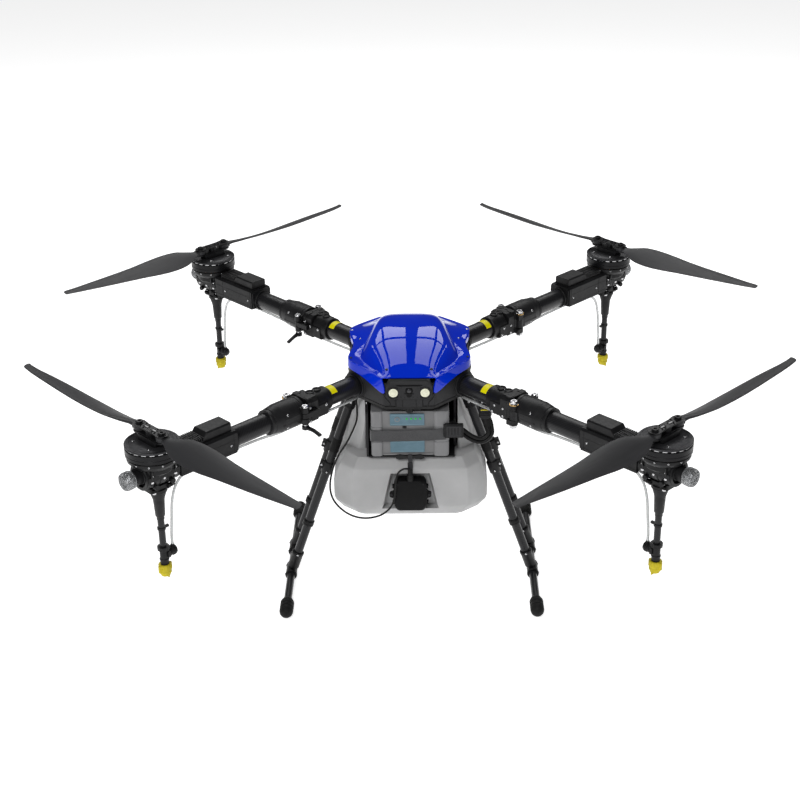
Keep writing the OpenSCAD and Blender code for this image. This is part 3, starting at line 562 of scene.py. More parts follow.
def pod_part():
    """Speed-controller box, saddle, stator and its windings."""
    p = Part()
    z0, z1 = TZ - 17, TZ + 26
    # box with chamfered long edges, drawn as a cross-section run along r
    def sec(hw, za, zb, c): return [(-hw, za), (hw, za), (hw, zb - c), (hw - c, zb), (-hw + c, zb), (-hw, zb - c)]
    def along(sec_, x0, x1, mat=0, top=None):
        m = Matrix(((0, 0, 1, 0), (1, 0, 0, 0), (0, 1, 0, 0), (0, 0, 0, 1)))
        return p.prism(sec_, x0, x1, mat, m, top)
    along(sec(26.6, z0, z1, 4), 462, 587)
    along(sec(24.6, z0 + 1.5, z1 - 1.5, 4), 458, 462.5)
    # end collar round the tube
    p.lathe([(19.1, 452.5), (21.5, 452.5), (22.2, 453.2), (22.2, 459), (19.1, 459)], 0, T(0, 0, TZ) @ ALONG_X, 48, closed=True)
    # seam rails along both sides and end-plate edges
    for s in (-1, 1):
        p.box((464, min(s * 26, s * 27), TZ + 7.5), (586, max(s * 26, s * 27), TZ + 9.2), 0)
        p.box((464, min(s * 26, s * 27), TZ - 12.5), (586, max(s * 26, s * 27), TZ - 11.3), 0)
        p.box((466.5, min(s * 26, s * 27), z0 + 1), (468.2, max(s * 26, s * 27), z1 - 5), 0)
        p.box((561, min(s * 26, s * 27), z0 + 1), (562.5, max(s * 26, s * 27), z1 - 5), 0)
        for r in (475, 553):
            p.screw((r, s * 26.5, TZ + 1), (0, s, 0), 2.3, 1.2, 1)
    # raised block with sloped ends
    p.prism([(-18.6, 0), (18.6, 0), (18.6, 14.5), (16.2, 17), (-16.2, 17), (-18.6, 14.5)], 467, 521, 0,
            Matrix(((0, 0, 1, 0), (1, 0, 0, 0), (0, 1, 0, TZ + 25.5), (0, 0, 0, 1))))
    p.prism([(-18.6, 0), (18.6, 0), (18.6, 14.5), (16.2, 17), (-16.2, 17), (-18.6, 14.5)], 521, 528, 0,
            Matrix(((0, 0, 1, 0), (1, 0, 0, 0), (0, 1, 0, TZ + 25.5), (0, 0, 0, 1))),
            [(-18.6, 0), (18.6, 0), (18.6, 6), (16.2, 8), (-16.2, 8), (-18.6, 6)])
    # heat sink
    p.box((527, -19, TZ + 25), (574, 19, TZ + 29.5), 0)
    for k in range(11):
        x = 528.5 + k * 4.25
        p.box((x, -18.8, TZ + 29), (x + 1.7, 18.8, TZ + 35.6), 0)
        for y in (-9.6, 0, 9.6):
            p.box((x, y - 0.9, TZ + 35), (x + 4.2 if k < 10 else x + 1.7, y + 0.9, TZ + 35.5), 0)
    # saddle: curved ribs round the tube under the motor
    def saddle_ring(x0, x1, r):
        n = 40; a0 = math.radians(-62); a1 = math.radians(242)
        pts = []
        for k in range(n + 1):
            a = a1 + (a0 - a1) * k / n
            pts.append((r * math.cos(a), r * math.sin(a)))
        return pts
    p.lathe([(19.1, 587.4), (24.5, 587.4), (25.6, 588.6), (25.6, 600), (24.2, 601), (24.2, 603), (25.6, 604), (25.6, 613), (24.2, 614), (24.2, 616), (25.6, 617), (25.6, 629), (24.2, 630), (24.2, 632), (25.6, 633), (25.6, 644), (24.2, 645), (24.2, 647), (25.6, 648), (25.6, 657.6), (24.5, 658.8), (19.1, 658.8)], 0, T(0, 0, TZ) @ ALONG_X, 56, closed=True)
    for s in (-1, 1):
        # clamp flanges and their bolts
        p.box((590, min(s * 20, s * 26.6), TZ - 3.4), (657, max(s * 20, s * 26.6), TZ + 5), 0)
        for r in (598, 623, 648):
            p.lathe([(0, -7.4), (3.4, -7.4), (3.4, -4), (2.2, -4), (2.2, 5.4), (3.8, 5.4), (3.8, 8.2), (0, 8.2)], 1, T(r, s * 23.2, TZ), 6)
        # thumb screws that stand out sideways under the clamp
        for r in (606, 641):
            p.lathe([(0, 0), (3.2, 0), (3.2, 5), (5.0, 5.6), (5.0, 10.4), (4.4, 11.2), (0, 11.2)], 0, T(r, s * 17, TZ - 17) @ (Matrix.Rotation(math.radians(-90 * s), 4, "X")), 14)
        # curved braces up to the stator
        for r in (600, 616, 634, 650):
            p.prism([(20, 0), (26.6, 2), (30, 14), (30, 20), (22, 20)], -1.5, 1.5, 0, T(r, 0, TZ - 2) @ Matrix(((0, 0, 1, 0), (s, 0, 0, 0), (0, 1, 0, 0), (0, 0, 0, 1))))
    p.lathe([(0, TZ + 6), (33, TZ + 6), (35.6, TZ + 9), (35.6, TZ + 17), (38.5, TZ + 18.6), (0, TZ + 18.6)], 0, T(625, 0, 0), 56)
    # stator base cone, ring, windings core
    p.lathe([(0, TZ + 18.4), (38.5, TZ + 18.4), (40, TZ + 19.4), (46.2, TZ + 27), (46.4, TZ + 28), (46.4, TZ + 32.4), (45.4, TZ + 33.4), (0, TZ + 33.4)], 0, T(625, 0, 0), 72)
    p.lathe([(5.2, TZ + 33), (41.6, TZ + 33), (41.6, TZ + 46.5), (5.2, TZ + 46.5)], 0, T(625, 0, 0), 48, closed=True)
    for k in range(24):
        a = 2 * math.pi * k / 24
        p.box((40.4, -3.1, TZ + 33.4), (43.1, 3.1, TZ + 46), 2, T(625, 0, 0) @ Matrix.Rotation(a, 4, "Z"))
    # screws round the stator ring
    for k in range(12):
        a = 2 * math.pi * (k + 0.5) / 12
        p.screw((625 + 46.0 * math.cos(a), 46.0 * math.sin(a), TZ + 30), (math.cos(a), math.sin(a), 0), 1.7, 0.9, 1, 0.8)
    # lamp base
    p.lathe([(0, 653.2), (15.8, 653.2), (15.8, 657), (14.8, 658), (14.8, 671), (13, 672.6), (0, 672.6)], 0, T(0, 0, TZ + 2) @ ALONG_X, 40)
    return p.mesh("pod_shell", ["black", "steel", "copper"])

def lamp_part():
    """Faceted clear lamp: rows of small pyramids round a short barrel and over its end."""
    p = Part()
    n = 14
    prof = [(12.5, 672.7), (16.2, 673.6), (17.0, 677), (17.0, 686), (15.4, 690.4), (11.5, 692.6), (6, 693)]
    rings = [[Vector((r * math.cos(2 * math.pi * (k + 0.5 * (i % 2)) / n), r * math.sin(2 * math.pi * (k + 0.5 * (i % 2)) / n), z)) for k in range(n)] for i, (r, z) in enumerate(prof)]
    v = [tuple(q) for r in rings for q in r]; f = []
    for i in range(len(rings) - 1):
        for k in range(n):
            a, b, c, d = i * n + k, i * n + (k + 1) % n, (i + 1) * n + (k + 1) % n, (i + 1) * n + k
            if i % 2 == 0: f += [(a, b, d), (b, c, d)]
            else: f += [(a, b, c), (a, c, d)]
    v.append((0, 0, 672.7)); v.append((0, 0, 692.2))
    for k in range(n):
        f.append((len(v) - 2, (k + 1) % n, k))
        f.append((len(v) - 1, (len(rings) - 1) * n + k, (len(rings) - 1) * n + (k + 1) % n))
    # each facet is poked outward into a small pyramid
    V = [Vector(q) for q in v]; nf = []
    for q in f:
        c = sum((V[i] for i in q), Vector()) / 3
        nn = (V[q[1]] - V[q[0]]).cross(V[q[2]] - V[q[0]])
        if nn.length < 1e-6: continue
        V.append(c + nn.normalized() * (-0.75)); m = len(V) - 1
        for j in range(3): nf.append((q[j], q[(j + 1) % 3], m))
    p.add(V, nf, 0, T(0, 0, TZ + 2) @ ALONG_X)
    # bright reflector cup and dark core inside
    p.lathe([(0, 673.5), (9, 673.5), (12.6, 679), (12.6, 682), (8.5, 688.5), (0, 688.5)], 1, T(0, 0, TZ + 2) @ ALONG_X, 12)
    for k in range(7):
        a = 2 * math.pi * k / 7
        p.lathe([(0, 0), (2.3, 0), (2.3, 1.6), (0, 2.4)], 2, T(0, 0, TZ + 2) @ ALONG_X @ T(8 * math.cos(a), 8 * math.sin(a), 688), 8)
    return p.mesh("lamp", ["lamp", "steel", "lens"])

def lance_part():
    p = Part(); t = T(622, 0, 0)
    # bracket plate with side tabs, and the bolts through it
    p.prism(rounded([(592, -14), (646, -14), (646, 14), (592, 14)], 5), TZ - 34.8, TZ - 25.2, 0)
    for s in (-1, 1):
        p.prism(rounded([(600, -17.6), (612, -17.6), (612, 17.6), (600, 17.6)], 3), TZ - 33, TZ - 27, 0)
        p.prism(rounded([(632, -17.6), (644, -17.6), (644, 17.6), (632, 17.6)], 3), TZ - 33, TZ - 27, 0)
        for r in (606, 638):
            p.lathe([(0, -37.4), (3.6, -37.4), (3.6, -34), (2.4, -34), (2.4, -24), (0, -24)], 1, T(r, s * 12, TZ), 6)
    p.lathe([(0, 372.6), (6.6, 372.6), (7.0, 373.2), (7.0, 379), (8.0, 380.4), (8.8, 381.4), (10.4, 413), (11.2, 417), (14.6, 428), (14.8, 430), (17, 431.6), (17, 438), (0, 438)], 0, t, 40)
    for z in (386, 400):
        p.lathe([(8.0, z), (9.0, z + .5), (9.0, z + 2.5), (8.0, z + 3)], 0, t, 40, closed=True)
    p.lathe([(0, 316), (6.2, 316), (6.2, 373), (0, 373)], 2, t, 32)
    # hose clip half way down
    p.lathe([(6.0, 352), (7.8, 352), (7.8, 357), (6.0, 357)], 0, t, 24, closed=True)
    p.box((622 - 15, -2.4, 352.2), (622 - 6, 2.4, 356.8), 0)
    # ring with grip notches over the nozzle body
    ring = [(10.4 + (0.9 if k % 2 else 0)) for k in range(24)]
    poly = [(ring[k] * math.cos(2 * math.pi * k / 24), ring[k] * math.sin(2 * math.pi * k / 24)) for k in range(24)]
    p.prism(poly, 310, 317.6, 0, t)
    p.lathe([(0, 288.6), (8.4, 288.6), (8.8, 289.4), (8.8, 292), (7.6, 293), (7.6, 308), (8.6, 309), (8.6, 310.6), (0, 310.6)], 0, t, 32)
    p.lathe([(0, 264.6), (7.6, 264.6), (7.9, 265), (7.9, 289), (0, 289)], 0, t, 32)
    # spring check valve towards the body: domed cap with ribs, and its nipple
    c = T(0, 0, 301)
    M_ = T(622, 0, 301) @ Matrix(((0, 0, -1, 0), (0, 1, 0, 0), (1, 0, 0, 0), (0, 0, 0, 1)))
    p.lathe([(0, 3), (5.8, 3), (5.8, 9), (8.6, 10), (9.0, 11), (9.0, 13), (8.0, 14), (8.0, 15), (9.0, 16), (9.0, 22), (7.8, 25), (4.6, 26.8), (0, 27)], 0, M_, 28)
    for k in range(12):
        a = 2 * math.pi * k / 12
        p.box((8.6, -0.9, 16), (9.7, 0.9, 22.4), 0, M_ @ Matrix.Rotation(a, 4, "Z"))
    # side lugs of the valve's clamp and its two dark bolts
    p.box((-6, -10.2, 2.6), (6, 10.2, 8.2), 0, M_)
    for yy in (-8.2, 8.2):
        p.lathe([(0, 8), (2.5, 8), (2.5, 11.6), (0, 11.6)], 0, M_ @ T(0, yy, 0), 6)
    p.lathe([(0, 301), (4.1, 301), (4.1, 306), (3.3, 306.6), (3.9, 308.4), (3.3, 308.8), (3.9, 310.6), (3.3, 311), (3.6, 313), (0, 313)], 0, T(602, 0, 0), 20)
    return p.mesh("lance", ["black", "steel", "carbon"])

def nozzle_part():
    p = Part(); t = T(622, 0, 257)
    p.lathe([(5.4, 0.3), (8.6, 0.2), (9.0, 0.8), (9.0, 4), (10.6, 5), (11.2, 5.6), (11.2, 10), (10.7, 10.5), (10.7, 12), (11.2, 12.5), (11.4, 22.6), (10.8, 23.8), (8.1, 23.8), (8.1, 7), (5.4, 5)], 0, t, 40, closed=True)
    p.box((-1.1, -10.6, -2.8), (1.1, -0.4, 5), 0, t)
    p.box((-1.1, 0.4, -1.4), (1.1, 10.6, 5), 0, t)
    for k in range(16):
        a = 2 * math.pi * k / 16
        if k % 8 == 0:
            p.prism(rounded([(10, -3), (13.9, -2.4), (13.9, 2.4), (10, 3)], 1), 8, 22, 0, t @ Matrix.Rotation(a, 4, "Z"))
        else:
            p.box((10.9, -0.8, 13.5), (12.2, 0.8, 22.6), 0, t @ Matrix.Rotation(a, 4, "Z"))
    p.lathe([(0, 1.6), (5.6, 1.6), (5.6, 5.2), (0, 5.2)], 1, t, 20)
    p.box((-0.7, -3.6, 0.6), (0.7, 3.6, 1.8), 2, t)
    return p.mesh("nozzle", ["yellow", "white", "lens"])

def rotor_part():
    p = Part(); t = T(625, 0, 0)
    # bell with a machined band and cooling slots, then the cap
    p.lathe([(44.7, 507.6), (47.6, 507.6), (48.4, 508.4), (48.4, 513.6), (47.9, 514.1), (47.9, 515.3), (48.4, 515.8), (48.4, 523.2), (47.4, 524.2), (45.4, 524.4), (45.4, 525.8), (44.7, 525.8)], 0, t, 96, closed=True)
    # painted light: the cap takes the lighter cap material for the light on its upward face
    p.lathe([(0, 523.2), (44.9, 523.2), (44.9, 526), (47.4, 526), (48.4, 526.8), (48.4, 529.2), (47.6, 530), (43.5, 530.1), (42.8, 529.7), (40.8, 529.7), (40.0, 530.1), (18, 530.3), (0, 530.3)], 1, t, 96)
    # magnets seen in the gap, and small bright screws round it
    for k in range(20):
        a = 2 * math.pi * k / 20
        p.box((44.0, -4, 523.0), (46.6, 4, 526.4), 2, t @ Matrix.Rotation(a, 4, "Z"))
    for k in range(4):
        a = math.pi * (k + 0.5) / 2
        p.screw((625 + 33 * math.cos(a), 33 * math.sin(a), 530.0), (0, 0, 1), 2.6, 1.2, 3)
    # hub block and clamp plates
    p.prism(rounded([(-13, -26), (13, -26), (13, 26), (-13, 26)], 5), 530, 540.2, 0, t, rounded([(-11, -29), (11, -29), (11, 29), (-11, 29)], 5))
    def plate(z0, z1):
        out = []
        for k in range(17): a = math.radians(180 * k / 16); out.append((11.9 * math.cos(a), 32 + 11.9 * math.sin(a)))
        mid = [(-8.2, 14), (-8.2, -14)]
        for k in range(17): a = math.radians(180 + 180 * k / 16); out.append((11.9 * math.cos(a), -32 + 11.9 * math.sin(a)))
        out = out[:17] + [(-9.4, 17), (-9.4, -17)] + out[17:] + [(9.4, -17), (9.4, 17)]
        p.prism(out, z0, z1, 0, t)
    plate(540.1, 543.0); plate(552.1, 554.8)
    # frames of the two slots in the upper plate
    for y0 in (-16.5, 5.5):
        for a, b in (((-3.4, y0), (-2.0, y0 + 11)), ((2.0, y0), (3.4, y0 + 11)), ((-3.4, y0 - 1.2), (3.4, y0)), ((-3.4, y0 + 11), (3.4, y0 + 12.2))):
            p.box((*a, 554.4), (*b, 555.6), 0, t)
        p.box((-2.0, y0, 554.5), (2.0, y0 + 11, 554.95), 4, t)
    for s in (-1, 1):
        p.lathe([(0, 541), (3.95, 541), (3.95, 556), (0, 556)], 3, T(625, s * 32, 0), 20)
        p.lathe([(0, 554.8), (8.2, 554.8), (8.2, 555.6), (6.4, 555.8), (6.4, 558.4), (5.8, 559), (3.0, 559), (2.6, 557), (0, 557)], 0, T(625, s * 32, 0), 24)
        for y in (12, 20):
            p.screw((625 + 6.6, s * y, 554.8), (0, 0, 1), 1.8, 1.0, 0, 0.9)
            p.screw((625 - 6.6, s * y, 554.8), (0, 0, 1), 1.8, 1.0, 0, 0.9)
    p.lathe([(0, 540), (8.8, 540), (8.8, 554), (0, 554)], 0, t, 32)
    p.lathe([(0, 494.2), (4.9, 494.2), (4.9, 524), (0, 524)], 3, t, 24)
    return p.mesh("rotor", ["metal", "cap", "steel", "steel", "lens"])

def blade_part(sgn):
    """Blade along +y from its pivot at the origin, bulge towards +x. sgn -1 mirrors it."""
    L = 352.0
    # distance from the pivot: chord, centre offset, pitch, thickness, rise
    st = [(9, 17, 0, 0, 8, 0), (15, 18, -1.2, 3, 8, 0), (22, 22, -2, 8, 7.6, 0), (29, 30, -1.2, 14, 7.3, -0.7), (38, 38.5, -0.2, 18, 7, -1.4), (47, 46, 0.9, 21, 6.8, -1.9), (56, 51, 1.7, 22, 6.6, -2.3), (68, 54.2, 2.5, 22, 6.3, -2.8),
          (82, 56, 3.2, 22, 6, -3.2), (104, 55.4, 3.8, 21.4, 5.8, -3.4), (130, 52.3, 4.3, 19.4, 5.4, -3.2), (168, 45.2, 4.9, 15.8, 5, -2.6), (210, 39.4, 5.2, 13.0, 4.5, -1.4), (248, 34.1, 5.6, 11, 4, 0), (285, 28.2, 6.3, 8.7, 3.5, 1.3), (318, 22, 7, 6.8, 3, 2.5),
          (334, 19.2, 6.9, 6.3, 2.7, 3.6), (343, 17.8, 6.6, 6.1, 2.4, 4.4), (348, 15.6, 5.4, 6.1, 2.1, 4.8), (350.5, 12.4, 3.6, 6.1, 1.8, 5.0), (352, 7.8, 1.4, 6.1, 1.4, 5.1)]
    n = 36; rings = []
    for y, ch, cx, tw, th, rise in st:
        tw = math.radians(tw); ring = []
        for k in range(n):
            # closed aerofoil: x from -0.5 (leading) to 0.5 (trailing)
            q = 2 * math.pi * k / n
            xx = -0.5 * math.cos(q)
            s = (xx + 0.5)
            t = 5.0 * (0.55 * math.sqrt(max(s, 0)) - 0.30 * s - 0.30 * s * s + 0.06 * s ** 3)
            tail = 0.045
            half = max(0.0, t) * 0.5 + tail * s
            camber = 0.16 * 4 * s * (1 - s)
            w = (half if math.sin(q) > 0 else -half * 0.62) + camber * min(1, (y - 9) / 60)
            if abs(math.sin(q)) < 1e-6 and s > 0.5: w = camber * 0
            w *= th
            v = xx * ch
            ring.append((v * math.cos(tw) - cx + w * math.sin(tw), y, rise - v * math.sin(tw) + w * math.cos(tw)))
        rings.append(ring)
    p = Part()
    Mm = Matrix.Scale(-1, 4, (1, 0, 0)) if sgn < 0 else None
    p.loft(rings, 0, Mm, uv=lambda i, k: (k * 2.0, st[i][0]))
    # root ring round the pivot bolt, and the waist
    p.lathe([(4.2, -4.1), (10.6, -4.1), (10.9, -3.8), (10.9, 3.8), (10.6, 4.1), (4.2, 4.1)], 0, Mm, 40, closed=True)
    p.box((-8.0, 2, -3.9), (8.0, 12, 3.9), 0, Mm)
    return p.mesh("blade_%s" % ("a" if sgn > 0 else "b"), ["blade"])

def latch_part():
    p = Part(); t = T(303, 30, 0)
    p.lathe([(0, TZ - 28), (4, TZ - 28), (4, TZ + 18), (0, TZ + 18)], 1, t, 24)
    p.lathe([(0, TZ + 17.5), (6.4, TZ + 17.5), (6.4, TZ + 19.4), (5.6, TZ + 20.6), (5.0, TZ + 21.2), (2.6, TZ + 21.2), (2.2, TZ + 19.6), (0, TZ + 19.6)], 1, t, 24)
    p.lathe([(4.0, TZ - 4.9), (6.4, TZ - 4.9), (6.4, TZ + 4.9), (4.0, TZ + 4.9)], 0, t, 28, closed=True)
    p.box((270.2, 32.2, TZ - 4.8), (303, 36.2, TZ + 4.8), 0)
    p.box((270.2, 27.2, TZ - 4.8), (274.8, 33, TZ + 4.8), 0)
    # curved handle: tapered paddle
    path = catmull([(303, 30, TZ - 24.6), (302, 37, TZ - 24.6), (300, 47, TZ - 25.6), (298.6, 56, TZ - 28.2), (297.8, 64.5, TZ - 31.2)], 5)
    rings = []
    for i, q in enumerate(path):
        f = i / (len(path) - 1)
        w = 6.2 - 2.0 * math.sin(math.pi * f) * 0.6 - 1.6 * f
        h = 3.4 - 0.9 * f
        rings.append([(q.x + w * math.cos(2 * math.pi * k / 20), q.y + 0.25 * h * 0, q.z + h * math.copysign(abs(math.sin(2 * math.pi * k / 20)) ** 0.6, math.sin(2 * math.pi * k / 20))) for k in range(20)])
    p.loft(rings[::-1], 0)
    p.lathe([(0, TZ - 28), (6.8, TZ - 28), (7, TZ - 27.4), (7, TZ - 21.6), (6.4, TZ - 21), (0, TZ - 21)], 0, t, 28)
    return p.mesh("latch", ["black", "steel"])

def hinge_block_part():
    p = Part(); X = T(0, 0, TZ) @ ALONG_X
    # round sleeve over the inner tube with a flared end
    p.lathe([(19.1, 226.2), (22.4, 226.2), (23.6, 227.4), (23.6, 238), (24, 239), (24, 264), (19.1, 264)], 0, X, 56, closed=True)
    # flat-sided housing
    def sec(hw, za, zb, c, d): return [(-hw + d, za), (hw - d, za), (hw, za + d), (hw, zb), (hw - c, zb + c * 0.9), (-hw + c, zb + c * 0.9), (-hw, zb), (-hw, za + d)]
    m = Matrix(((0, 0, 1, 0), (1, 0, 0, 0), (0, 1, 0, 0), (0, 0, 0, 1)))
    p.prism(sec(25.6, TZ - 21.6, TZ + 4, 9, 4), 240.5, 268, 0, m)
    p.prism(sec(25.8, TZ - 23.8, TZ + 18, 7.5, 3), 266, 283, 0, m)
    p.prism(sec(26.0, TZ - 24, TZ + 19, 7, 3), 283.6, 291, 0, m)
    p.box((278, -21, TZ + 23.2), (289, -9, TZ + 25.8), 0)
    p.box((278, 9, TZ + 23.2), (289, 21, TZ + 25.8), 0)
    # spigot
    p.lathe([(0, 290), (19.8, 290), (19.8, 296.0), (19.2, 296.4), (0, 296.4)], 0, X, 48)
    # ribs under the housing
    for r in (246, 254, 262):
        p.box((r, -20, TZ - 23.2), (r + 2, 20, TZ - 21), 0)
    # two raised loops on top with a bright screw between them
    for r in (247, 264):
        p.tube([(r + 7 * math.cos(a), 0 + 7 * math.sin(a), TZ + 24.4) for a in [2 * math.pi * k / 20 for k in range(20)]] + [(r + 7, 0.01, TZ + 24.4)], 1.7, 0, n=10, up=(0, 0, 1), cap=False)
        p.lathe([(0, TZ + 22.6), (5.4, TZ + 22.6), (5.4, TZ + 24.0), (0, TZ + 24.0)], 0, T(r, 0, 0), 20)
    p.screw((255.5, 0, TZ + 23.8), (0, 0, 1), 2.7, 1.7, 1)
    # side screws: on the latch side and on the pin side
    for r, z in ((246, 0.8), (271, 0.8), (286, -20)):
        p.screw((r, 26.0 - 0.4, TZ + z), (0, 1, 0), 2.9, 1.7, 1)
    for r, z in ((252, -1), (273, -1), (246, -15), (273, -17)):
        p.screw((r, -25.6, TZ + z), (0, -1, 0), 2.7, 1.6, 1)
    p.screw((286, 25.9, TZ + 8), (0, 1, 0), 2.9, 1.7, 1)
    # lugs for the hinge pin, round faced with ring lines
    for z in (TZ + 6, TZ - 25):
        p.lathe([(5.1, z + .1), (8.0, z + .1), (8.4, z + .6), (8.4, z + 4.6), (7.9, z + 5), (7.9, z + 6), (8.4, z + 6.4), (8.4, z + 10.4), (8.0, z + 10.9), (5.1, z + 10.9)], 0, T(300, -25, 0), 40, closed=True)
        p.box((289, -33.4, z + .2), (299, -17, z + 10.8), 0)
    p.box((276.2, 24, TZ - 5.8), (280.8, 30.8, TZ + 5.8), 0)
    return p.mesh("hinge_block", ["black", "steel"])

def hinge_pin_part():
    p = Part(); t = T(300, -25, 0)
    p.lathe([(0, TZ - 28), (5, TZ - 28), (5, TZ + 20), (0, TZ + 20)], 0, t, 28)
    p.lathe([(0, TZ + 17), (9.4, TZ + 17), (9.4, TZ + 18.6), (0, TZ + 18.6)], 1, t, 36)
    p.lathe([(0, TZ + 18.6), (7.6, TZ + 18.6), (7.6, TZ + 19.6), (6.6, TZ + 20), (6.6, TZ + 23.6), (5.8, TZ + 24.7), (3.1, TZ + 24.7), (2.7, TZ + 22), (0, TZ + 22)], 0, t, 28)
    p.lathe([(0, TZ - 31), (7.0, TZ - 31), (7.9, TZ - 30), (7.9, TZ - 25.1), (0, TZ - 25.1)], 0, t, 6)
    return p.mesh("hinge_pin", ["steel", "brass"])

HOSE_LOW = TZ - 31.5
def hose_part(off):
    p = Part()
    route = [(300.2, off, HOSE_LOW), (348, off, HOSE_LOW - 0.2), (376, off, HOSE_LOW + 3), (420, off, HOSE_LOW + 5), (500, off, HOSE_LOW + 6), (556, off, HOSE_LOW + 4), (582, off * 0.6, HOSE_LOW - 12), (594, 0, 400), (599, 0, 360), (602, 0, 330), (602, 0, 313)]
    p.tube(catmull(route, 6), 2.6, 0, n=12, up=(0, 1, 0))
    return p.mesh("hose", ["hose"])

def feed_part():
    p = Part()
    p.tube(catmull([(134, 0, 449), (142, 0, 443), (170, 0, HOSE_LOW + 1), (220, 0, HOSE_LOW), (260, 0, HOSE_LOW), (299.7, 0, HOSE_LOW)], 6), 2.6, 0, n=12, up=(0, 1, 0))
    return p.mesh("feed_hose", ["hose"])

def collar_part():
    """Where the arm leaves the body: the flange ring on the tube; the seal and four screws are part of the body shell,
    and the yellow tape is its own piece.
    """
    p = Part(); X = T(0, 0, TZ) @ ALONG_X
    p.lathe([(19.05, 146.8), (24.2, 146.8), (24.8, 147.6), (24.8, 150), (22.8, 151), (22.8, 155.4), (21.9, 156.4), (19.05, 156.4)], 0, X, 64, closed=True)
    return p.mesh("arm_collar", ["black"])

def tape_part():
    p = Part(); X = T(0, 0, TZ) @ ALONG_X
    def patch(x0, x1, r, mat):
        n = 26; v = []; f = []
        for x in (x0, x1):
            for k in range(n + 1):
                t = math.radians(34 + 118 * k / n)
                v.append((x, r * math.cos(t), TZ + r * math.sin(t)))
        for x in (x0, x1):
            for k in range(n + 1):
                t = math.radians(34 + 118 * k / n)
                v.append((x, 18.95 * math.cos(t), TZ + 18.95 * math.sin(t)))
        m = n + 1
        for k in range(n):
            f.append((k, k + 1, m + k + 1, m + k)); f.append((2 * m + k + 1, 2 * m + k, 3 * m + k, 3 * m + k + 1))
            f.append((k + 1, k, 2 * m + k, 2 * m + k + 1)); f.append((m + k, m + k + 1, 3 * m + k + 1, 3 * m + k))
        f.append((0, m, 3 * m, 2 * m)); f.append((n, 2 * m + n, 3 * m + n, m + n))
        p.add(v, f, mat)
    patch(206.5, 208.2, 19.28, 1); patch(208.2, 222.2, 19.34, 0); patch(222.2, 224.0, 19.28, 1)
    return p.mesh("tube_tape", ["tape", "tape_edge"])

def inner_tube_part():
    p = Part()
    p.lathe([(17, 113), (19, 113), (19, 279), (17, 279)], 0, T(0, 0, TZ) @ ALONG_X, 64, closed=True)
    return p.mesh("inner_tube", ["carbon"])

def make_arms():
    sleeve, tube, pod, lamp = arm_part(), outer_tube_part(), pod_part(), lamp_part()
    lance, nozzle, rotor, latch = lance_part(), nozzle_part(), rotor_part(), latch_part()
    block, pin, hose, feed, collar, tape, inner = hinge_block_part(), hinge_pin_part(), hose_part(0), feed_part(), collar_part(), tape_part(), inner_tube_part()
    blade = {1: blade_part(1), -1: blade_part(-1)}
    for a in ARMS:
        w = arm_world(a); A = "arm_" + a
        place(sleeve, "sleeve_" + a, A, [A], w, 0.35)
        place(tube, "outer_tube_" + a, A, (), w)
        place(pod, "pod_shell_" + a, A, ["pod_" + a], w, 0.4, 2, 40)
        place(lamp, "tail_lamp_" + a, A, (), w, smooth_angle=5)
        place(lance, "lance_tube_" + a, A, ["lance_" + a], w, 0.35, 2, 40)
        place(hose, "spray_hose_" + a, A, ["hose_" + a], w, smooth_angle=70)
        place(nozzle, "nozzle_cap_" + a, "nozzle_" + a, ["nozzle_" + a], w, 0.25)
        place(rotor, "rotor_bell_" + a, "rotor_" + a, ["rotor_" + a], w, 0.3, 2, 40)
        place(latch, "latch_lever_" + a, "latch_" + a, ["latch_" + a], w, 0.4)
        place(block, "hinge_block_" + a, "airframe", ["hinge_blocks"], w, 0.5, 2, 38)
        place(pin, "hinge_pin_" + a, "airframe", ["hinge_pins"], w, 0.3)
        place(feed, "feed_hose_" + a, "airframe", ["feed_hoses"], w, smooth_angle=70)
        place(collar, "arm_collar_" + a, "airframe", (), w, 0.3)
        place(tape, "tube_tape_" + a, "airframe", (), w)
        place(inner, "inner_tube_" + a, "airframe", ["inner_tubes"], w)
        for side, name in ((1, "a"), (-1, "b")):
            turn = side * HAND[a] > 0
            m = w @ T(0.625, 0, 0.5475)
            if HAND[a] < 0: m = m @ Matrix.Scale(1, 4)
            # the mirrored blade: mirror across the arm's r axis, as the design does
            if HAND[a] > 0:
                loc = Matrix.Identity(4) if turn else R(180, "Z")
            else:
                loc = R(180, "Z") if turn else Matrix.Identity(4)
            m = m @ loc @ T(0, 0.032, 0)
            place(blade[1 if HAND[a] > 0 else -1], "blade_%s_top_%s" % (name, a), "blade_%s_%s" % (name, a), ["blade_%s_%s" % (name, a)], m, 0.0, smooth_angle=50)
make_arms()

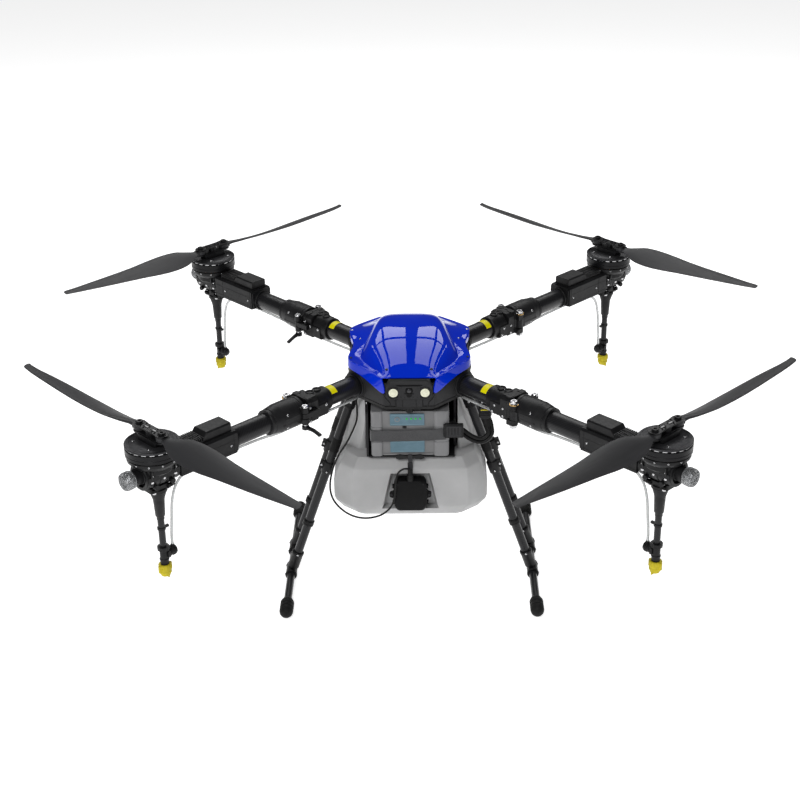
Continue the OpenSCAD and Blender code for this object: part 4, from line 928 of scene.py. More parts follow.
# ------------------------------------------------------------------ hood
def make_hood():
    """Control cage for one half, mirrored, then subdivided with creased folds."""
    rows = [
        # centre,            c1,                 c2,                 shoulder,           fold at crown foot,  flank,              rim,                lip
        [(0, -163, 513.9), (15, -163, 513.9), (30, -162.8, 513.8), (41, -162, 513.5), (47, -160, 513.3), (50, -160.5, 513.1), (53, -161.5, 512.6), (41, -165.6, 468)],
        [(0, -146, 520.5), (18, -146, 520.5), (36, -145, 520.0), (49, -142, 518.2), (56, -139, 514.6), (61, -139.5, 514.4), (68, -145, 514.6), (75, -139.5, 492.5)],
        [(0, -112, 532.5), (25, -111.5, 532.3), (48, -110, 530.4), (66, -107.5, 524.2), (78, -107, 511.6), (84, -109, 512.0), (94.5, -112, 517.0), (98.5, -114, 500.5)],
        [(0, -72, 542.2), (32, -71.5, 542.0), (60, -70.5, 539.0), (84, -69, 528.0), (98.5, -67, 509.5), (107, -79, 512.6), (120.6, -92.5, 518.6), (121.2, -92, 502.2)],
        [(0, -34, 547.0), (31, -34, 546.6), (58, -34, 543.6), (80, -34, 533.0), (92, -36, 514.6), (103, -44, 513.4), (118.5, -58, 516.2), (119.5, -58, 502.0)],
        [(0, 4, 548.8), (30, 4, 548.6), (56, 4, 547.2), (72.5, 3, 540.6), (82, -2, 521.0), (95, -2, 515.0), (107.6, -2, 511.0), (108.6, -2, 501.8)],
        [(0, 45, 548.4), (28, 45, 548.3), (50, 45, 547.8), (63.5, 44.6, 543.8), (70, 44, 530.5), (92, 42, 520.0), (117, 32, 513.2), (118, 32, 502.0)],
        [(0, 82, 541.6), (24, 82, 541.6), (45, 81, 540.8), (57.5, 80, 536.8), (65, 78, 526.0), (94, 73, 515.0), (123.6, 70, 513.6), (123.6, 71, 502.0)],
        [(0, 113, 527.4), (21, 113, 527.6), (39, 112.4, 526.6), (51, 111.6, 522.6), (60.5, 108, 516.0), (84, 100, 510.6), (111, 99, 508.6), (112, 101, 501.6)],
        [(0, 146, 508.8), (17, 146, 509.0), (33, 145.5, 509.0), (44, 144.6, 508.8), (52, 142.6, 508.6), (57, 141.6, 508.4), (61, 144, 507.8), (62, 147.5, 501.6)],
        [(0, 149, 501.6), (17, 149, 501.6), (33, 149, 501.6), (44, 149, 501.6), (52, 148.6, 501.6), (57, 148.2, 501.6), (60, 148, 501.6), (61.5, 148, 501.6)],
    ]
    nr, nc = len(rows), 8
    bm = bmesh.new()
    grid = {}
    for i, row in enumerate(rows):
        for j, (x, y, z) in enumerate(row):
            for s in (1, -1):
                if s == -1 and j == 0: grid[i, 0, -1] = grid[i, 0, 1]; continue
                grid[i, j, s] = bm.verts.new((s * x * MM, y * MM, z * MM))
    for i in range(nr - 1):
        for j in range(nc - 1):
            for s in (1, -1):
                q = [grid[i, j, s], grid[i, j + 1, s], grid[i + 1, j + 1, s], grid[i + 1, j, s]]
                if s == -1: q.reverse()
                bm.faces.new(q)
    bm.normal_update()
    lay = bm.edges.layers.float.new("crease_edge")
    def crease(a, b, v):
        e = bm.edges.get((a, b))
        if e: e[lay] = v
    for s in (1, -1):
        for i in range(nr - 1):
            crease(grid[i, 4, s], grid[i + 1, 4, s], 0.72 if i < 7 else 0.45)
            crease(grid[i, 6, s], grid[i + 1, 6, s], 0.92)
        for j in range(nc - 1):
            crease(grid[nr - 2, j, s], grid[nr - 2, j + 1, s], 0.7)
    me = bpy.data.meshes.new("hood_shell")
    bm.to_mesh(me); bm.free()
    me.materials.append(M["blue"])
    o = place(me, "hood_shell", "airframe", ["hood"], sub=3, solid=2.2)
    e = o.modifiers.new("edge", "BEVEL"); e.width = 0.0005; e.segments = 2; e.limit_method = "ANGLE"; e.angle_limit = math.radians(50)
    # screws: two dark ones at the front, bright ones on the rear ears, dark ones on the front ears
    p = Part()
    for s in (-1, 1):
        p.screw((s * 42.5, -140, 520.3), (0, -0.2, 1), 3.0, 1.0, 0, 1.5)
        p.screw((s * 113, -78, 517.2), (s * 0.15, 0, 1), 2.6, 1.1, 0, 1.3)
        p.screw((s * 116, 62, 512.6), (s * 0.2, 0, 1), 3.2, 1.6, 1, 1.5)
        p.screw((s * 98, 12, 516.3), (s * 0.3, 0, 1), 2.2, 1.0, 1, 1.1)
        p.screw((s * 56, 132, 511.8), (s * 0.2, 0.4, 1), 2.6, 1.2, 1, 1.3)
    place(p.mesh("hood_screws", ["lens", "steel"]), "hood_screws", "airframe", bevel=0.15)
make_hood()

def octo(hx, hy, cx, cy):
    return [(hx, -hy + cy), (hx, hy - cy), (hx - cx, hy), (-hx + cx, hy), (-hx, hy - cy), (-hx, -hy + cy), (-hx + cx, -hy), (hx - cx, -hy)]

# ------------------------------------------------------------------ lower shell
def make_shell():
    p = Part()
    outer = rounded(octo(117, 159, 69, 69), 5, 4)
    inner = rounded(octo(114, 156, 67.3, 67.3), 4, 4)
    low = rounded(octo(115.4, 157.4, 68.2, 68.2), 4, 4)
    n = len(outer)
    rings = [[(x, y, 449.2) for x, y in low], [(x, y, 451) for x, y in outer], [(x, y, 499.8) for x, y in outer], [(x, y, 499.8) for x, y in inner], [(x, y, 449.2) for x, y in inner]]
    v = [q for r in rings for q in r]; f = []
    for i in range(5):
        for k in range(n):
            a, b = i * n, ((i + 1) % 5) * n
            f.append((a + k, a + (k + 1) % n, b + (k + 1) % n, b + k))
    p.add(v, f, 0)
    # black chin edge along the bottom
    p.prism(rounded(octo(117.6, 159.6, 69, 69), 4, 3), 446.4, 452.2, 1)
    p.prism([(-45, 446.6), (45, 446.6), (47, 452.6), (-47, 452.6)], 0, 3.9, 1, Matrix(((1, 0, 0, 0), (0, 0, -1, -158.8), (0, 1, 0, 0), (0, 0, 0, 1))))
    # flange plate and seal round each arm's way out
    for az in AZ.values():
        w = R(az, "Z")
        X = w @ T(0, 0, TZ) @ ALONG_X
        p.lathe([(19.2, 145.6), (27.5, 145.6), (27.5, 147.2), (26.4, 148.2), (22, 148.2), (21.4, 147.6), (19.2, 147.6)], 1, X, 56, closed=True)
        for k in (0, 1, 2, 3):
            t = math.radians(45 + 90 * k)
            p.screw(Vector((0, 0, 0)) + (w @ Vector((146.5, 33 * math.cos(t) * 0.86, TZ + 20 * math.sin(t)))), w.to_3x3() @ Vector((1, 0, 0)), 2.4, 1.2, 2)
    # front wall: two cheeks beside a central panel, with seam lines
    p.prism([(-46.5, 452), (-26.5, 452), (-26.5, 473), (-40, 473), (-49, 480)], 0, 2.6, 0, Matrix(((1, 0, 0, 0), (0, 0, -1, -158.6), (0, 1, 0, 0), (0, 0, 0, 1))))
    p.prism([(26.5, 452), (46.5, 452), (49, 480), (40, 473), (26.5, 473)], 0, 2.6, 0, Matrix(((1, 0, 0, 0), (0, 0, -1, -158.6), (0, 1, 0, 0), (0, 0, 0, 1))))
    p.prism(rounded([(-24.6, 452), (24.6, 452), (24.6, 469), (-24.6, 469)], 1.5, 3), 0, 4.2, 0, Matrix(((1, 0, 0, 0), (0, 0, -1, -158.6), (0, 1, 0, 0), (0, 0, 0, 1))))
    for s in (-1, 1):
        c = catmull([(s * 50, -160.9, 478), (s * 44, -161.4, 468), (s * 38, -161.5, 461), (s * 35.5, -161.5, 452.5)], 5)
        p.tube(c, 1.0, 1, n=8, up=(0, 1, 0))
        p.tube([(s * 12.6, -162.8, 469.2), (s * 12.9, -162.8, 461), (s * 13.4, -162.8, 452)], 0.8, 1, n=8, up=(0, 1, 0))
        p.tube([(s * 24.7, -161.6, 470), (s * 25.2, -161.6, 461), (s * 25.6, -161.6, 452)], 0.9, 1, n=8, up=(0, 1, 0))
        # side panels on the left and right walls
        p.box((min(s * 116.5, s * 118.2), -80, 455), (max(s * 116.5, s * 118.2), 80, 496), 0)
        p.box((min(s * 117.8, s * 118.9), -66, 460), (max(s * 117.8, s * 118.9), 66, 491), 0)
        for k in range(9):
            p.box((min(s * 118.4, s * 119.6), -52 + 13 * k - 1.6, 465), (max(s * 118.4, s * 119.6), -52 + 13 * k + 1.6, 486), 1)
        for y in (-72, 72):
            for z in (461, 490):
                p.screw((s * 118.2, y, z), (s, 0, 0), 2.2, 1.1, 2)
    # rear wall: cover with a vent
    p.box((-40, 158.4, 455), (40, 160.6, 495), 0)
    for k in range(7):
        p.box((-32, 160, 459.5 + 4.6 * k), (32, 161.6, 461.7 + 4.6 * k), 1)
    for x in (-36.5, 36.5):
        for z in (458.5, 491.5):
            p.screw((x, 160.4, z), (0, 1, 0), 2.2, 1.1, 2)
    # half-round knob under the chin
    p.lathe([(0, 0), (6.2, 0), (7.0, 0.9), (7.0, 6.4), (6.2, 8.2), (0, 8.2)], 1, T(0, -156.5, 438.4), 32)
    p.box((-4.4, -162.6, 441.5), (4.4, -152, 447), 1)
    place(p.mesh("lower_body_shell", ["nose", "black", "steel"]), "lower_body_shell", "airframe", ["lower_shell"], bevel=0.45, seg=2, angle=35)
make_shell()

# ------------------------------------------------------------------ nose
# painted shade: a near-black matt material that stands in for the shade in the groove under the brow and in the
# recesses round the camera
M["painted_shade_pit"] = moulded("painted_shadow_pit", (0.0035, 0.0035, 0.0038), (0.7, 0.8), var=0.2, grain=900, spec=0.2)
def make_nose():
    F = lambda y: Matrix(((1, 0, 0, 0), (0, 0, -1, y), (0, 1, 0, 0), (0, 0, 0, 1)))   # x, z outline, depth towards -y
    p = Part()
    # main housing: outline with round shoulders over the headlights
    def shoulders(g, top, low):
        out = []
        for k in range(9):
            a = math.radians(200 + 100 * k / 8); out.append((-30 + (14.6 + g) * math.cos(a), 484 + (14.6 + g) * math.sin(a)))
        out += [(-22, low), (22, low)]
        for k in range(9):
            a = math.radians(260 + 100 * k / 8); out.append((30 + (14.6 + g) * math.cos(a), 484 + (14.6 + g) * math.sin(a)))
        out += [(44.4 + g * 0.4, 497), (38.5, top), (-38.5, top), (-44.4 - g * 0.4, 497)]
        return out
    p.prism(shoulders(0, 511.4, 470), 0, 9, 0, F(-158))
    p.prism(shoulders(-0.2, 509, 471), 0, 1.6, 0, F(-166.8), shoulders(-2.2, 506, 472.6))
    # upper bezel: sloping brow
    p.prism([(-36, 502.5), (-24, 500.6), (24, 500.6), (36, 502.5), (38, 509.6), (34, 511.8), (-34, 511.8), (-38, 509.6)], 0, 3.2, 0, F(-165.6), [(-35, 503), (-23.5, 501.6), (23.5, 501.6), (35, 503), (36, 507), (33, 508.6), (-33, 508.6), (-36, 507)])
    # painted shadow: a near-black strip below the brow stands in for the shade under it
    p.box((-25, -168.9, 498.7), (25, -166, 500.9), 3)
    # central block and the trapezoid notch for the camera
    m = F(-167.6)
    p.prism([(-21, 471.5), (-9.4, 471.5), (-9.0, 482.6), (-5.8, 495.4), (-5.8, 498.6), (-21, 498.6)], 0, 2.6, 0, m)
    p.prism([(9.4, 471.5), (21, 471.5), (21, 498.6), (5.8, 498.6), (5.8, 495.4), (9.0, 482.6)], 0, 2.6, 0, m)
    p.box((-6, -170.2, 495.2), (6, -167.4, 498.6), 0)
    # painted shade: a near-black backing in the camera notch stands in for the shade in the recess
    p.box((-9.6, -168.3, 480.5), (9.6, -167.0, 498.7), 3)
    # half-round boss under the notch
    h = [(9.2 * math.cos(math.radians(a)), 482.4 + 10 * math.sin(math.radians(a))) for a in range(180, 361, 12)]
    p.prism(h, 0, 3.0, 0, m)
    # painted shade: the inner half-round and the disc round the camera lens take the same near-black shade material
    h2 = [(5.6 * math.cos(math.radians(a)), 481.6 + 6 * math.sin(math.radians(a))) for a in range(180, 361, 15)]
    p.prism(h2, 0, 3.4, 3, m)
    p.lathe([(0, 0), (7.0, 0), (7.0, 0.7), (5.8, 1.3), (5.4, 2.2), (0, 2.2)], 3, T(0, -168.2, 489) @ R(90, "X"), 32)
    for s in (-1, 1):
        c = T(s * 30, -166.5, 484) @ R(90, "X")
        p.lathe([(9.2, 0), (13.6, 0), (13.6, 1.6), (12.9, 2.6), (11.6, 2.8), (11.0, 2.4), (9.2, 2.4)], 1, c, 40, closed=True)
        p.lathe([(12.9, 0), (14.4, 0), (14.4, 1.4), (13.6, 2.0), (12.9, 2.0)], 0, c, 40, closed=True)
        p.screw((s * 16, -170.0, 494.5), (0, -1, 0), 1.4, 0.7, 2, 0.7)
        p.screw((s * 16, -170.0, 475.5), (0, -1, 0), 1.4, 0.7, 2, 0.7)
        # little drain slots under the headlights
        p.box((s * 30 - 3, -167.6, 470.4), (s * 30 + 3, -165, 471.6), 1)
    place(p.mesh("nose_housing", ["nose", "black", "dark", "painted_shade_pit"]), "nose_housing", "airframe", ["nose_module"], bevel=0.4, seg=2, angle=35)
    q = Part()
    for s in (-1, 1):
        c = T(s * 30, -166.6, 484) @ R(90, "X")
        q.lathe([(0, 0), (9.1, 0), (9.1, 1.4), (8.6, 2.2), (7.6, 2.5), (6.6, 2.2), (5.2, 2.35), (3.0, 3.2), (0, 3.5)], 0, c, 40)
        q.lathe([(5.0, 2.3), (5.6, 2.3), (5.6, 2.75), (5.0, 2.75)], 0, c, 32, closed=True)
    q.lathe([(0, 0), (4.6, 0), (4.6, 1.2), (3.4, 2.2), (0, 2.8)], 1, T(0, -168.6, 489) @ R(90, "X"), 32)
    place(q.mesh("headlight_lenses", ["headlight", "lens"]), "headlight_lenses", "airframe", ["headlights"], smooth_angle=35)
make_nose()

# ------------------------------------------------------------------ battery
def make_battery():
    p = Part()
    FY = lambda z: Matrix(((1, 0, 0, 0), (0, 1, 0, 0), (0, 0, 1, z), (0, 0, 0, 1)))
    # core and the two raised end blocks with rounded front corners
    core = rounded([(-68, -145), (70, -145), (70, 39.6), (-68, 39.6)], 5, 4)
    p.prism(core, 338.5, 433.5, 1)
    for x0, x1 in ((-75, -52), (46, 76)):
        blk = rounded([(x0, -150), (x1, -150), (x1, 36), (x0, 36)], 8, 6)
        sm = rounded([(x0 + 1.5, -148.5), (x1 - 1.5, -148.5), (x1 - 1.5, 34.5), (x0 + 1.5, 34.5)], 7, 6)
        p.loft([[(x, y, 337.2) for x, y in sm], [(x, y, 339.2) for x, y in blk], [(x, y, 368) for x, y in blk], [(x, y, 369) for x, y in sm], [(x, y, 370) for x, y in blk], [(x, y, 400) for x, y in blk], [(x, y, 401) for x, y in sm], [(x, y, 402) for x, y in blk], [(x, y, 432.6) for x, y in blk], [(x, y, 434.8) for x, y in sm]], 0)
    # small bumps at the middle of each label's inner edge, and the lower sill
    for z in (399.6, 374.4):
        p.prism(rounded([(-14, z - 1.8), (-6, z - 1.8), (-6, z + 1.8), (-14, z + 1.8)], 1.2, 3), 0, 3.0, 2, Matrix(((1, 0, 0, 0), (0, 0, -1, -144.6), (0, 1, 0, 0), (0, 0, 0, 1))))
    p.box((-51.5, -146.4, 338.6), (45.8, -144, 342.6), 1)
    # rear and top ribs
    for k in range(6):
        p.box((-44 + 15 * k, -120, 433), (-38 + 15 * k, 20, 434.6), 1)
    for k in range(4):
        p.box((-50, 39, 350 + 20 * k), (44, 40.4, 360 + 20 * k), 1)
    # carry handle recess rails on the top
    p.box((-20, -140, 433), (22, -124, 434.9), 0)
    place(p.mesh("battery_case", ["battery", "battery2", "black"]), "battery_case", "battery", ["battery_pack"], bevel=0.9, seg=3, angle=35)
    q = Part()
    F = Matrix(((1, 0, 0, 0), (0, 0, -1, -146.2), (0, 1, 0, 0), (0, 0, 0, 1)))
    q.prism(rounded([(-38, 404), (28.5, 404), (28.5, 429), (-38, 429)], 2), 0, 1.2, 0, F)
    q.prism(rounded([(-38, 345.5), (28.5, 345.5), (28.5, 371.5), (-38, 371.5)], 2), 0, 1.2, 0, F)
    # plain bands and a row of charge lights; no lettering or marks
    for z in (406, 425.5, 347.5, 368):
        q.prism([(-36, z), (26.5, z), (26.5, z + 1.2), (-36, z + 1.2)], 1.1, 1.5, 3, F)
    for k in range(4):
        q.prism([(-5.6 + 8.6 * k + 1.8 * math.cos(math.radians(30 * j)), 418.5 + 1.7 * math.sin(math.radians(30 * j))) for j in range(12)], 1.0, 1.9, 1, F)
    q.prism([(-24 + 5.2 * math.cos(math.radians(15 * j)), 417 + 5.2 * math.sin(math.radians(15 * j))) for j in range(24)], 1.0, 1.8, 2, F)
    q.prism([(-24 + 3.6 * math.cos(math.radians(15 * j)), 417 + 3.6 * math.sin(math.radians(15 * j))) for j in range(24)], 1.7, 2.2, 0, F)
    place(q.mesh("battery_labels", ["label", "green", "battery", "label2"]), "battery_labels", "battery", bevel=0.2)
    # strap: one woven band, sagging a little between the blocks, pulled up to the buckle
    s = Part()
    def strap(path, w, th):
        """path: (x, y, z) centres; the band's width runs along z, tilted a little."""
        P = [Vector(a) for a in path]; rings = []; L = 0; ls = [0]
        for i, c in enumerate(P):
            t = (P[min(i + 1, len(P) - 1)] - P[max(i - 1, 0)]).normalized()
            nrm = Vector((t.y, -t.x, 0)).normalized()
            ww = w * 0.5
            rings.append([c + nrm * th * 0.5 + Vector((0, 0, ww)), c - nrm * th * 0.5 + Vector((0, 0, ww)), c - nrm * th * 0.5 - Vector((0, 0, ww)), c + nrm * th * 0.5 - Vector((0, 0, ww))])
            if i: L += (P[i] - P[i - 1]).length; ls.append(L)
        sub = 8
        full = []
        for r in rings:
            a, b, c, d = r
            ring = [a + (d - a) * (k / sub) for k in range(sub + 1)] + [c + (b - c) * (k / sub) for k in range(sub + 1)]
            full.append(ring)
        m = len(full[0])
        wv = lambda i, k: ((k % m) * w / sub if (k % m) <= sub else (2 * sub + 1 - (k % m)) * w / sub, ls[i])
        s.loft(full, 0, uv=wv)
    path = [(-76.2, 30 - 14 * k, 383.5) for k in range(13)] + [(-76.2, -146, 383.5), (-75, -150.2, 383.5), (-71.5, -151.3, 383.5)]
    path += [(-64, -151.3, 383.4), (-55, -151.2, 383.2), (-46, -150.6, 382.9), (-34, -149.8, 382.7), (-20, -149.3, 382.6), (-4, -149.2, 382.8), (12, -149.4, 383.3), (26, -149.9, 384), (38, -150.7, 384.8), (47, -151.3, 385.6), (58, -151.5, 386.6), (70, -151.6, 387.4)]
    strap(path, 23.5, 1.3)
    place(s.mesh("battery_strap_band", ["strap"]), "battery_strap_band", "battery", ["battery_strap"], smooth_angle=45)
    b = Part()
    b.prism(rounded([(66.5, 381.5), (103.5, 381.5), (103.5, 410.5), (66.5, 410.5)], 2.5), 0, 6.8, 0, Matrix(((1, 0, 0, 0), (0, 0, -1, -150.8), (0, 1, 0, 0), (0, 0, 0, 1))))
    b.prism(rounded([(70.5, 384.5), (99.5, 384.5), (99.5, 407.5), (70.5, 407.5)], 2), 6.2, 8.6, 1, Matrix(((1, 0, 0, 0), (0, 0, -1, -150.8), (0, 1, 0, 0), (0, 0, 0, 1))))
    for k in range(4):
        b.box((74 + 6 * k, -159.9, 388), (76.2 + 6 * k, -158.6, 404), 0)
    b.box((64.8, -155, 383), (67.2, -150.6, 408.6), 0)
    b.lathe([(0, 384), (1.5, 384), (1.5, 408), (0, 408)], 2, T(68, -154, 0), 16)
    place(b.mesh("strap_buckle", ["black", "dark", "steel"]), "strap_buckle", "battery", bevel=0.6)
M["label2"] = moulded("label_band", (0.16, 0.26, 0.31), (0.3, 0.4), var=0.12, patch=90)
make_battery()

# ------------------------------------------------------------------ battery cage
def make_cage():
    p = Part()
    SX = lambda x: Matrix(((0, 0, 1, x), (1, 0, 0, 0), (0, 1, 0, 0), (0, 0, 0, 1)))   # y, z outline, depth along +x
    p.prism([(-139.6, 332.4), (43.6, 332.4), (43.6, 446.6), (-118, 446.6), (-139.6, 430)], 0, 2.8, 0, SX(-82.9))
    p.prism([(-97.6, 332.4), (43.6, 332.4), (43.6, 446.6), (-97.6, 446.6)], 0, 2.8, 0, SX(87.1))
    # turned edges that stiffen the side plates
    p.box((-84.6, -141, 333), (-80.2, -138.6, 428), 0)
    p.box((85.6, -100.6, 333), (90, -97.8, 446), 0)
    p.box((-79.9, -145.6, 333.2), (86.9, 43.8, 336.4), 0)
    p.box((-79.9, 41.1, 336.4), (86.9, 43.9, 446.6), 0)
    for x in (-60, -30, 0, 30, 60):
        p.box((x - 2, -140, 331.6), (x + 2, 38, 333.4), 0)
    # catch under the front of the battery: arms, hook and a cross bar
    F = Matrix(((1, 0, 0, 0), (0, 0, -1, -147.2), (0, 1, 0, 0), (0, 0, 0, 1)))
    p.prism([(-28, 333.4), (-21, 330.6), (-7, 332.6), (7, 332.6), (21, 330.6), (28, 333.4), (28, 338.4), (20, 341.0), (7, 338.6), (-7, 338.6), (-20, 341.0), (-28, 338.4)], 0, 3.2, 0, F)
    p.prism([(-3.4, 325.2), (3.4, 325.2), (4.2, 331), (4.2, 342), (-4.2, 342), (-4.2, 331)], 2.6, 4.4, 2, F)
    p.box((-25.6, -148.6, 333), (25.6, -145, 336.3), 0)
    for y in (-120, -60, 0):
        p.screw((-83, y, 440), (-1, 0, 0), 2.6, 1.4, 1)
        if y > -100: p.screw((90, y, 440), (1, 0, 0), 2.6, 1.4, 1)
    place(p.mesh("battery_cage_frame", ["black", "steel", "dark"]), "battery_cage_frame", "airframe", ["battery_cage"], bevel=0.5, seg=2, angle=35)
make_cage()

# ------------------------------------------------------------------ tank
def make_tank():
    p = Part()
    def lerp(a, b, t): return a + (b - a) * t
    # lower body: level, hx, hy, cx, cy
    # level, half width, front, rear, corner cut in x, corner cut in y
    L = [(196.2, 111, 127, 127, 25, 25), (197.4, 116, 131, 131, 26, 26), (200, 121.4, 134.4, 134.4, 27.4, 26), (205.4, 133, 140, 140, 31.6, 27), (208, 135.6, 141.6, 141.6, 32.6, 27.4), (218.4, 143.4, 146.4, 146.4, 35.2, 28.8), (219.6, 144.2, 147, 147, 35.4, 29), (224.6, 148.2, 149.4, 149.4, 36.6, 29.6), (228, 149.8, 150, 150, 37.4, 30),
         (234, 151.8, 150, 150, 38, 30), (252, 152, 150, 150, 38, 30), (269, 152, 150, 150, 38, 30), (274, 151, 150, 150, 37.4, 30), (290, 145.4, 150, 150, 32.6, 29.4), (298.4, 142.3, 150, 150, 30.4, 29.2), (299.6, 141.8, 150, 150, 30, 29.2), (307, 139, 150, 150, 27.6, 29), (310.6, 137.5, 149.3, 149.8, 27, 29),
         (313.4, 136, 147.7, 149.2, 26.8, 28.5), (326.4, 128.5, 138.2, 145.2, 25.4, 26.5), (329, 126.6, 135.9, 143.6, 25, 26), (330, 123.5, 133, 141, 25, 26)]
    rings = []
    for z, hx, hf, hr, cx, cy in L:
        notch = 219 < z < 299
        w = lerp(56, 38, min(1, max(0, (z - 219) / 80.0)))
        yn = -128.4 if notch else -hf
        half = [(w - 5, yn), (w, -hf), (hx - cx, -hf), (hx, -hf + cy), (hx, hr - cy), (hx - cx, hr)]
        poly = half + [(-x, y) for x, y in reversed(half)]
        rings.append([(x, y, z) for x, y in rounded(poly, 2.6, 3)])
    p.loft(rings, 0)
    # upper part: a U round the battery bay, leaning in towards the top
    U = [(322, 0), (336, 0), (352, 0), (392, 0), (424, 0), (432, 1.2), (435, 3.2), (436, 6)]
    rings = []
    for z, inset in U:
        t = (z - 330) / 106.0
        hx = max(lerp(126, 92, t), 95.5) - inset * 0.4
        hl = lerp(126, 92, t) - inset
        c = 24
        ya = -lerp(104, 100, t) + inset
        yb = 91.6 - inset
        il, ir = -86.4 - inset * 0.1, 93.4
        poly = [(ir, ya + 2), (max(hx - c, ir + 1), ya), (hx, ya + c), (hx, yb - 4), (hx - 8, yb), (-hl + 8, yb), (-hl, yb - 4), (-hl, ya + min(c, hl - 86)), (-max(hl - c, 87.5), ya), (il, ya + 2), (il, 47.4), (ir, 47.4)]
        rings.append([(x, y, z) for x, y in rounded(poly, 5, 4)])
    p.loft(rings, 0)
    # filler neck
    p.lathe([(15, 318), (21.5, 318), (21.5, 329.2), (19.4, 330.6), (18.9, 331), (18.9, 338), (15, 338)], 0, T(0, 118, 0), 48, closed=True)
    # moulded ribs on the rear step
    for x in (-100, -70, 70, 100):
        p.box((x - 3, 100, 328), (x + 3, 134, 331.6), 0)
    place(p.mesh("tank_body", ["tank"]), "tank_body", "tank", ["tank"], bevel=0.7, seg=2, angle=20, smooth_angle=14)
    q = Part()
    q.lathe([(0, 339), (19.2, 339), (19.2, 330.9), (22.4, 330.9), (22.9, 331.4), (22.9, 333), (22.0, 334), (22.0, 341), (20.8, 342.8), (12, 343), (11, 342), (0, 342)], 0, T(0, 118, 0), 72)
    for k in range(24):
        a = 2 * math.pi * k / 24
        q.box((21.6, -1.3, 333.6), (23.0, 1.3, 341.4), 0, T(0, 118, 0) @ Matrix.Rotation(a, 4, "Z"))
    q.box((-9, 115.6, 341.6), (9, 120.4, 342.9), 0)
    place(q.mesh("tank_cap_top", ["black"]), "tank_cap_top", "tank_cap", ["tank_cap"], bevel=0.3)
make_tank()

# ------------------------------------------------------------------ radar
def make_radar():
    p = Part()
    F = Matrix(((1, 0, 0, 0), (0, 0, -1, -140.2), (0, 1, 0, 0), (0, 0, 0, 1)))
    pts = [(-25, 222), (25, 222), (31, 230), (33, 246), (33, 266), (31, 282), (25, 290), (-25, 290), (-31, 282), (-33, 266), (-33, 246), (-31, 230)]
    def inset(k):
        cx, cy = 0, 256
        return [(cx + (x - cx) * k, cy + (y - cy) * k) for x, y in rounded(pts, 5, 4)]
    p.loft([[(x, -140.2, z) for x, z in inset(1)], [(x, -160.5, z) for x, z in inset(1)], [(x, -163.0, z) for x, z in inset(0.955)], [(x, -163.9, z) for x, z in inset(0.90)]][::-1], 0)
    p.prism([(x, z) for x, z in inset(1.012)], 5, 7.4, 0, F)
    for s in (-1, 1):
        p.prism(rounded([(s * 30, 248), (s * 41, 252), (s * 41, 262), (s * 30, 266)] if s > 0 else [(-30, 266), (-41, 262), (-41, 252), (-30, 248)], 3), 14, 19, 0, F)
        p.screw((s * 37, -159.2, 257), (0, -1, 0), 2.7, 1.5, 1, 1.3)
        for z in (230, 282):
            p.screw((s * 25, -163.2, z), (0, -1, 0), 1.7, 0.8, 2, 0.9)
    # small side clips
    for s, z in ((-1, 238), (1, 238), (1, 274), (-1, 274)):
        p.box((min(s * 29, s * 35.4), -158, z - 3), (max(s * 29, s * 35.4), -150, z + 3), 0)
    # bracket up to the catch
    p.box((-4.9, -152.2, 288.2), (4.9, -150.6, 324.9), 2)
    p.box((-3.2, -152.8, 292), (3.2, -151.6, 321), 2)
    place(p.mesh("radar_housing", ["radar", "dark", "nose"]), "radar_housing", "airframe", ["radar_unit"], bevel=0.4, seg=2, angle=40)
M["radar"] = moulded("radar_cover", (0.0042, 0.0042, 0.0045), (0.42, 0.55), var=0.2, grain=1400, spec=0.12)
make_radar()

# ------------------------------------------------------------------ power socket
def make_socket():
    p = Part()
    p.prism(rounded([(135, -125), (157, -125), (157, -105), (135, -105)], 4), 431.6, 446, 0)
    p.box((133.8, -126.4, 434), (158.2, -104, 437), 0)
    p.box((141.2, -106, 438.2), (149.8, -78.2, 445.8), 0)
    p.box((104.2, -85.8, 438.2), (149.8, -78.2, 445.8), 0)
    p.box((104.2, -85.8, 444), (112.8, -78.2, 446.9), 0)
    p.box((146, -126.6, 440), (154, -125, 444.4), 1)
    p.screw((139.5, -125.2, 441.6), (0, -1, 0), 1.9, 1.0, 2, 0.9)
    p.screw((124, -86, 442), (0, -1, 0), 2.2, 1.2, 2, 1.1)
    place(p.mesh("power_socket_shell", ["black", "red", "steel"]), "power_socket_shell", "airframe", ["power_socket"], bevel=0.6)
make_socket()

